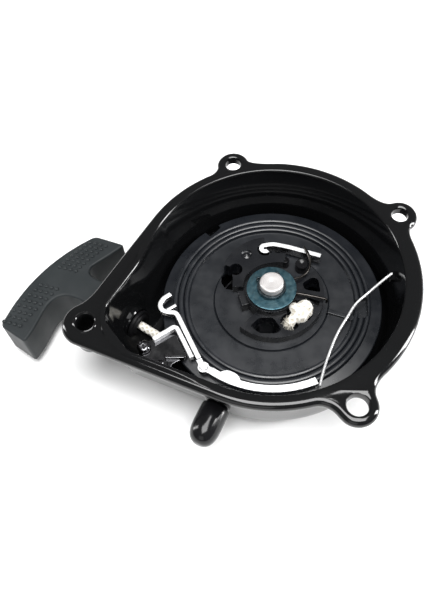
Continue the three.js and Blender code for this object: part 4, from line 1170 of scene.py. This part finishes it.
def grip_outline():
    """The T-handle from above. It leans on its soft neck, so its two arms differ."""
    far = [(20.3, -23.8), (21.9, -18.7), (24.2, -12.2), (25, -8.6), (23.6, -5.9), (20, -5.1), (14, -5.8),
           (8, -6.7),
           (0, -8.4)]
    near = [(0, 8.4), (7, 7.7), (14.3, 7.9), (20.3, 8.4), (25.2, 10), (28.4, 13.6), (29.2, 19), (27.9, 25.2),
            (26.4, 31.2), (25.8, 35.4)]
    points = smooth_line(near, 5)
    points += quadratic((25.6, 37.2), (25.4, 39.3), (27.3, 39.3), 8)
    points += quadratic((38.6, 39.1), (41.2, 39), (41.5, 36.4), 8)
    points += quadratic((41.5, 36.4), (49.2, 6.2), (36.2, -21.8), 44)[1:]
    points += quadratic((36.2, -21.8), (35.3, -24.1), (33, -24.7), 8)[1:]
    points += quadratic((21.4, -27.4), (19.1, -27.9), (19.8, -25.6), 8)
    return even(points + smooth_line(far, 5), 0.25)[::-1]


def grip_bumps():
    """Two fields of small round bumps, in rows that follow the bar's curve."""
    profile = [(0, -0.3), (1.05, -0.2), (0.98, 0.2), (0.75, 0.52), (0.4, 0.68), (0, 0.72)]
    profile = [(r, HALF_THICK + z) for r, z in profile]
    bumps = []
    for first, last, x_first, x_last in GRIP_PADS:
        for row in range(8):
            share = row / 7
            for column in range(4):
                x = x_first + (x_last - x_first) * share + 2.0 * share * (1 - share) - 2.7 * column
                y = first + (last - first) * share - 0.8 * column
                bumps.append(lathe("bump", profile, 14, x, y))
    return bumps


def grip_piece():
    """The moulded T-handle: flat faces, softly rounded edges, and a stepped bore for the rope."""
    rings = round_edge(grip_outline(), 1.1, -HALF_THICK, HALF_THICK)
    parts = [skin(rings), flat_region([level(rings[-1])], HALF_THICK, True),
             flat_region([level(rings[0])], -HALF_THICK, False)]
    bore = lathe("bore", [(0, -2), (2.5, -2), (2.5, 24), (5.9, 24), (6.2, 24.3), (6.2, 49), (0, 49)], 56)
    body = combine(piece_from("pull_grip", parts), [lay_along(bore, 0, (0, 0, 0))])
    turn = Matrix.Rotation(math.radians(ROPE_DIRECTION), 4, "Z")
    shift = Matrix.Translation(Vector((*rope_place(GRIP_START), ROPE_HEIGHT)) * MM)
    return place(merge(body, grip_bumps()), shift @ turn)


def grip_knot_piece():
    """The rope's outer end: a tight knot behind the washer in the grip's recess."""
    turns = [overhand(5 * k, 0, 0, GRIP_LENGTH - 9, 1.0, 2.1) for k in range(73)]
    stub = rope("stub", [(0, 0, 26.2), (0, 0, GRIP_LENGTH - 5)], 1.9, 18, 0.5)
    return on_rope(merge(rope("grip_knot_tied", turns, 1.85, 18), [stub]), GRIP_START)


ready(crisp(grip_piece(), 40), "grip", GRIP_PLASTIC, "grip_rubber", "grip")

collar = lathe("grip_collar", [(2.4, 24.4), (5.6, 24.4), (5.8, 24.6), (5.8, 25.8), (5.6, 26), (2.6, 26), (2.4,
                                                                                                          25.8)],
               64)
ready(crisp(on_rope(collar, GRIP_START), 50), "grip", ZINC, "bright_zinc", "grip_washer")
ready(grip_knot_piece(), "grip", ROPE, "rope_cord", "grip_knot")

# ------------------------------------------------------------------ cable boot
boot = lathe("inlet_boot", [(4.3, 60.4), (5.6, 60.4), (6.0, 60.6), (6.2, 61.1), (6.3, 63), (6.35, 66), (6.33,
                                                                                                        69.5),
                            (6.2, 71.8), (5.9, 73.6), (5.4, 75.2), (4.65, 76.5), (3.6, 77.5), (2.35, 78.15),
                            (1.1, 78.4), (0.001, 78.42), (0.001, 76), (1.5, 75.9), (3, 75.1), (4.0, 73.6),
                            (4.3, 71.8)])
lay_along(boot, INLET_DIRECTION, (0, 0, INLET_HEIGHT))
ready(crisp(boot, 60), "housing", VINYL, "boot_vinyl", "cable_boot")

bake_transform(pulled)
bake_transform(wire)


# ------------------------------------------------------------------ stage and light
def add_floor():
    floor = new_piece("floor", [(-900, -900, -0.2), (900, -900, -0.2), (900, 1500, -0.2), (-900, 1500, -0.2)],
                      [(0, 1, 2, 3)])
    material, nodes, links, shader = node_material("floor", (0.93, 0.93, 0.93), 0.9)
    links.new(ramp(nodes, links, noise(nodes, links, 3, 2),
                   [(0.3, (0.92, 0.92, 0.92)), (0.7, (0.94, 0.94, 0.94))]),
              shader.inputs["Base Color"])
    floor.data.materials.append(material)


def add_light(name, at, aim, size, size_y, power):
    data = bpy.data.lights.new(name, "AREA")
    data.shape = "RECTANGLE"
    data.size = size
    data.size_y = size_y
    data.energy = power
    light = bpy.data.objects.new(name, data)
    bpy.context.scene.collection.objects.link(light)
    light.location = at
    light.rotation_euler = (Vector(aim) - Vector(at)).to_track_quat("-Z", "Y").to_euler()


def add_world():
    world = bpy.data.worlds.new("studio")
    world.use_nodes = True
    world.node_tree.nodes["Background"].inputs["Color"].default_value = (1, 1, 1, 1)
    world.node_tree.nodes["Background"].inputs["Strength"].default_value = 0.22
    bpy.context.scene.world = world


add_floor()
add_world()
add_light("key_box", (0.05, -0.15, 1.3), (0, 0, 0), 0.8, 0.8, 25)
add_light("right_strip", (0.95, 0, 0.25), (0, 0, 0.04), 0.18, 1.1, 19)
add_light("left_strip", (-0.95, 0.2, 0.35), (0, 0, 0.04), 0.14, 0.8, 5)
add_light("front_fill", (-0.3, -1.2, 0.6), (0, 0, 0), 0.8, 0.8, 2)
bpy.context.scene.view_settings.view_transform = "Standard"
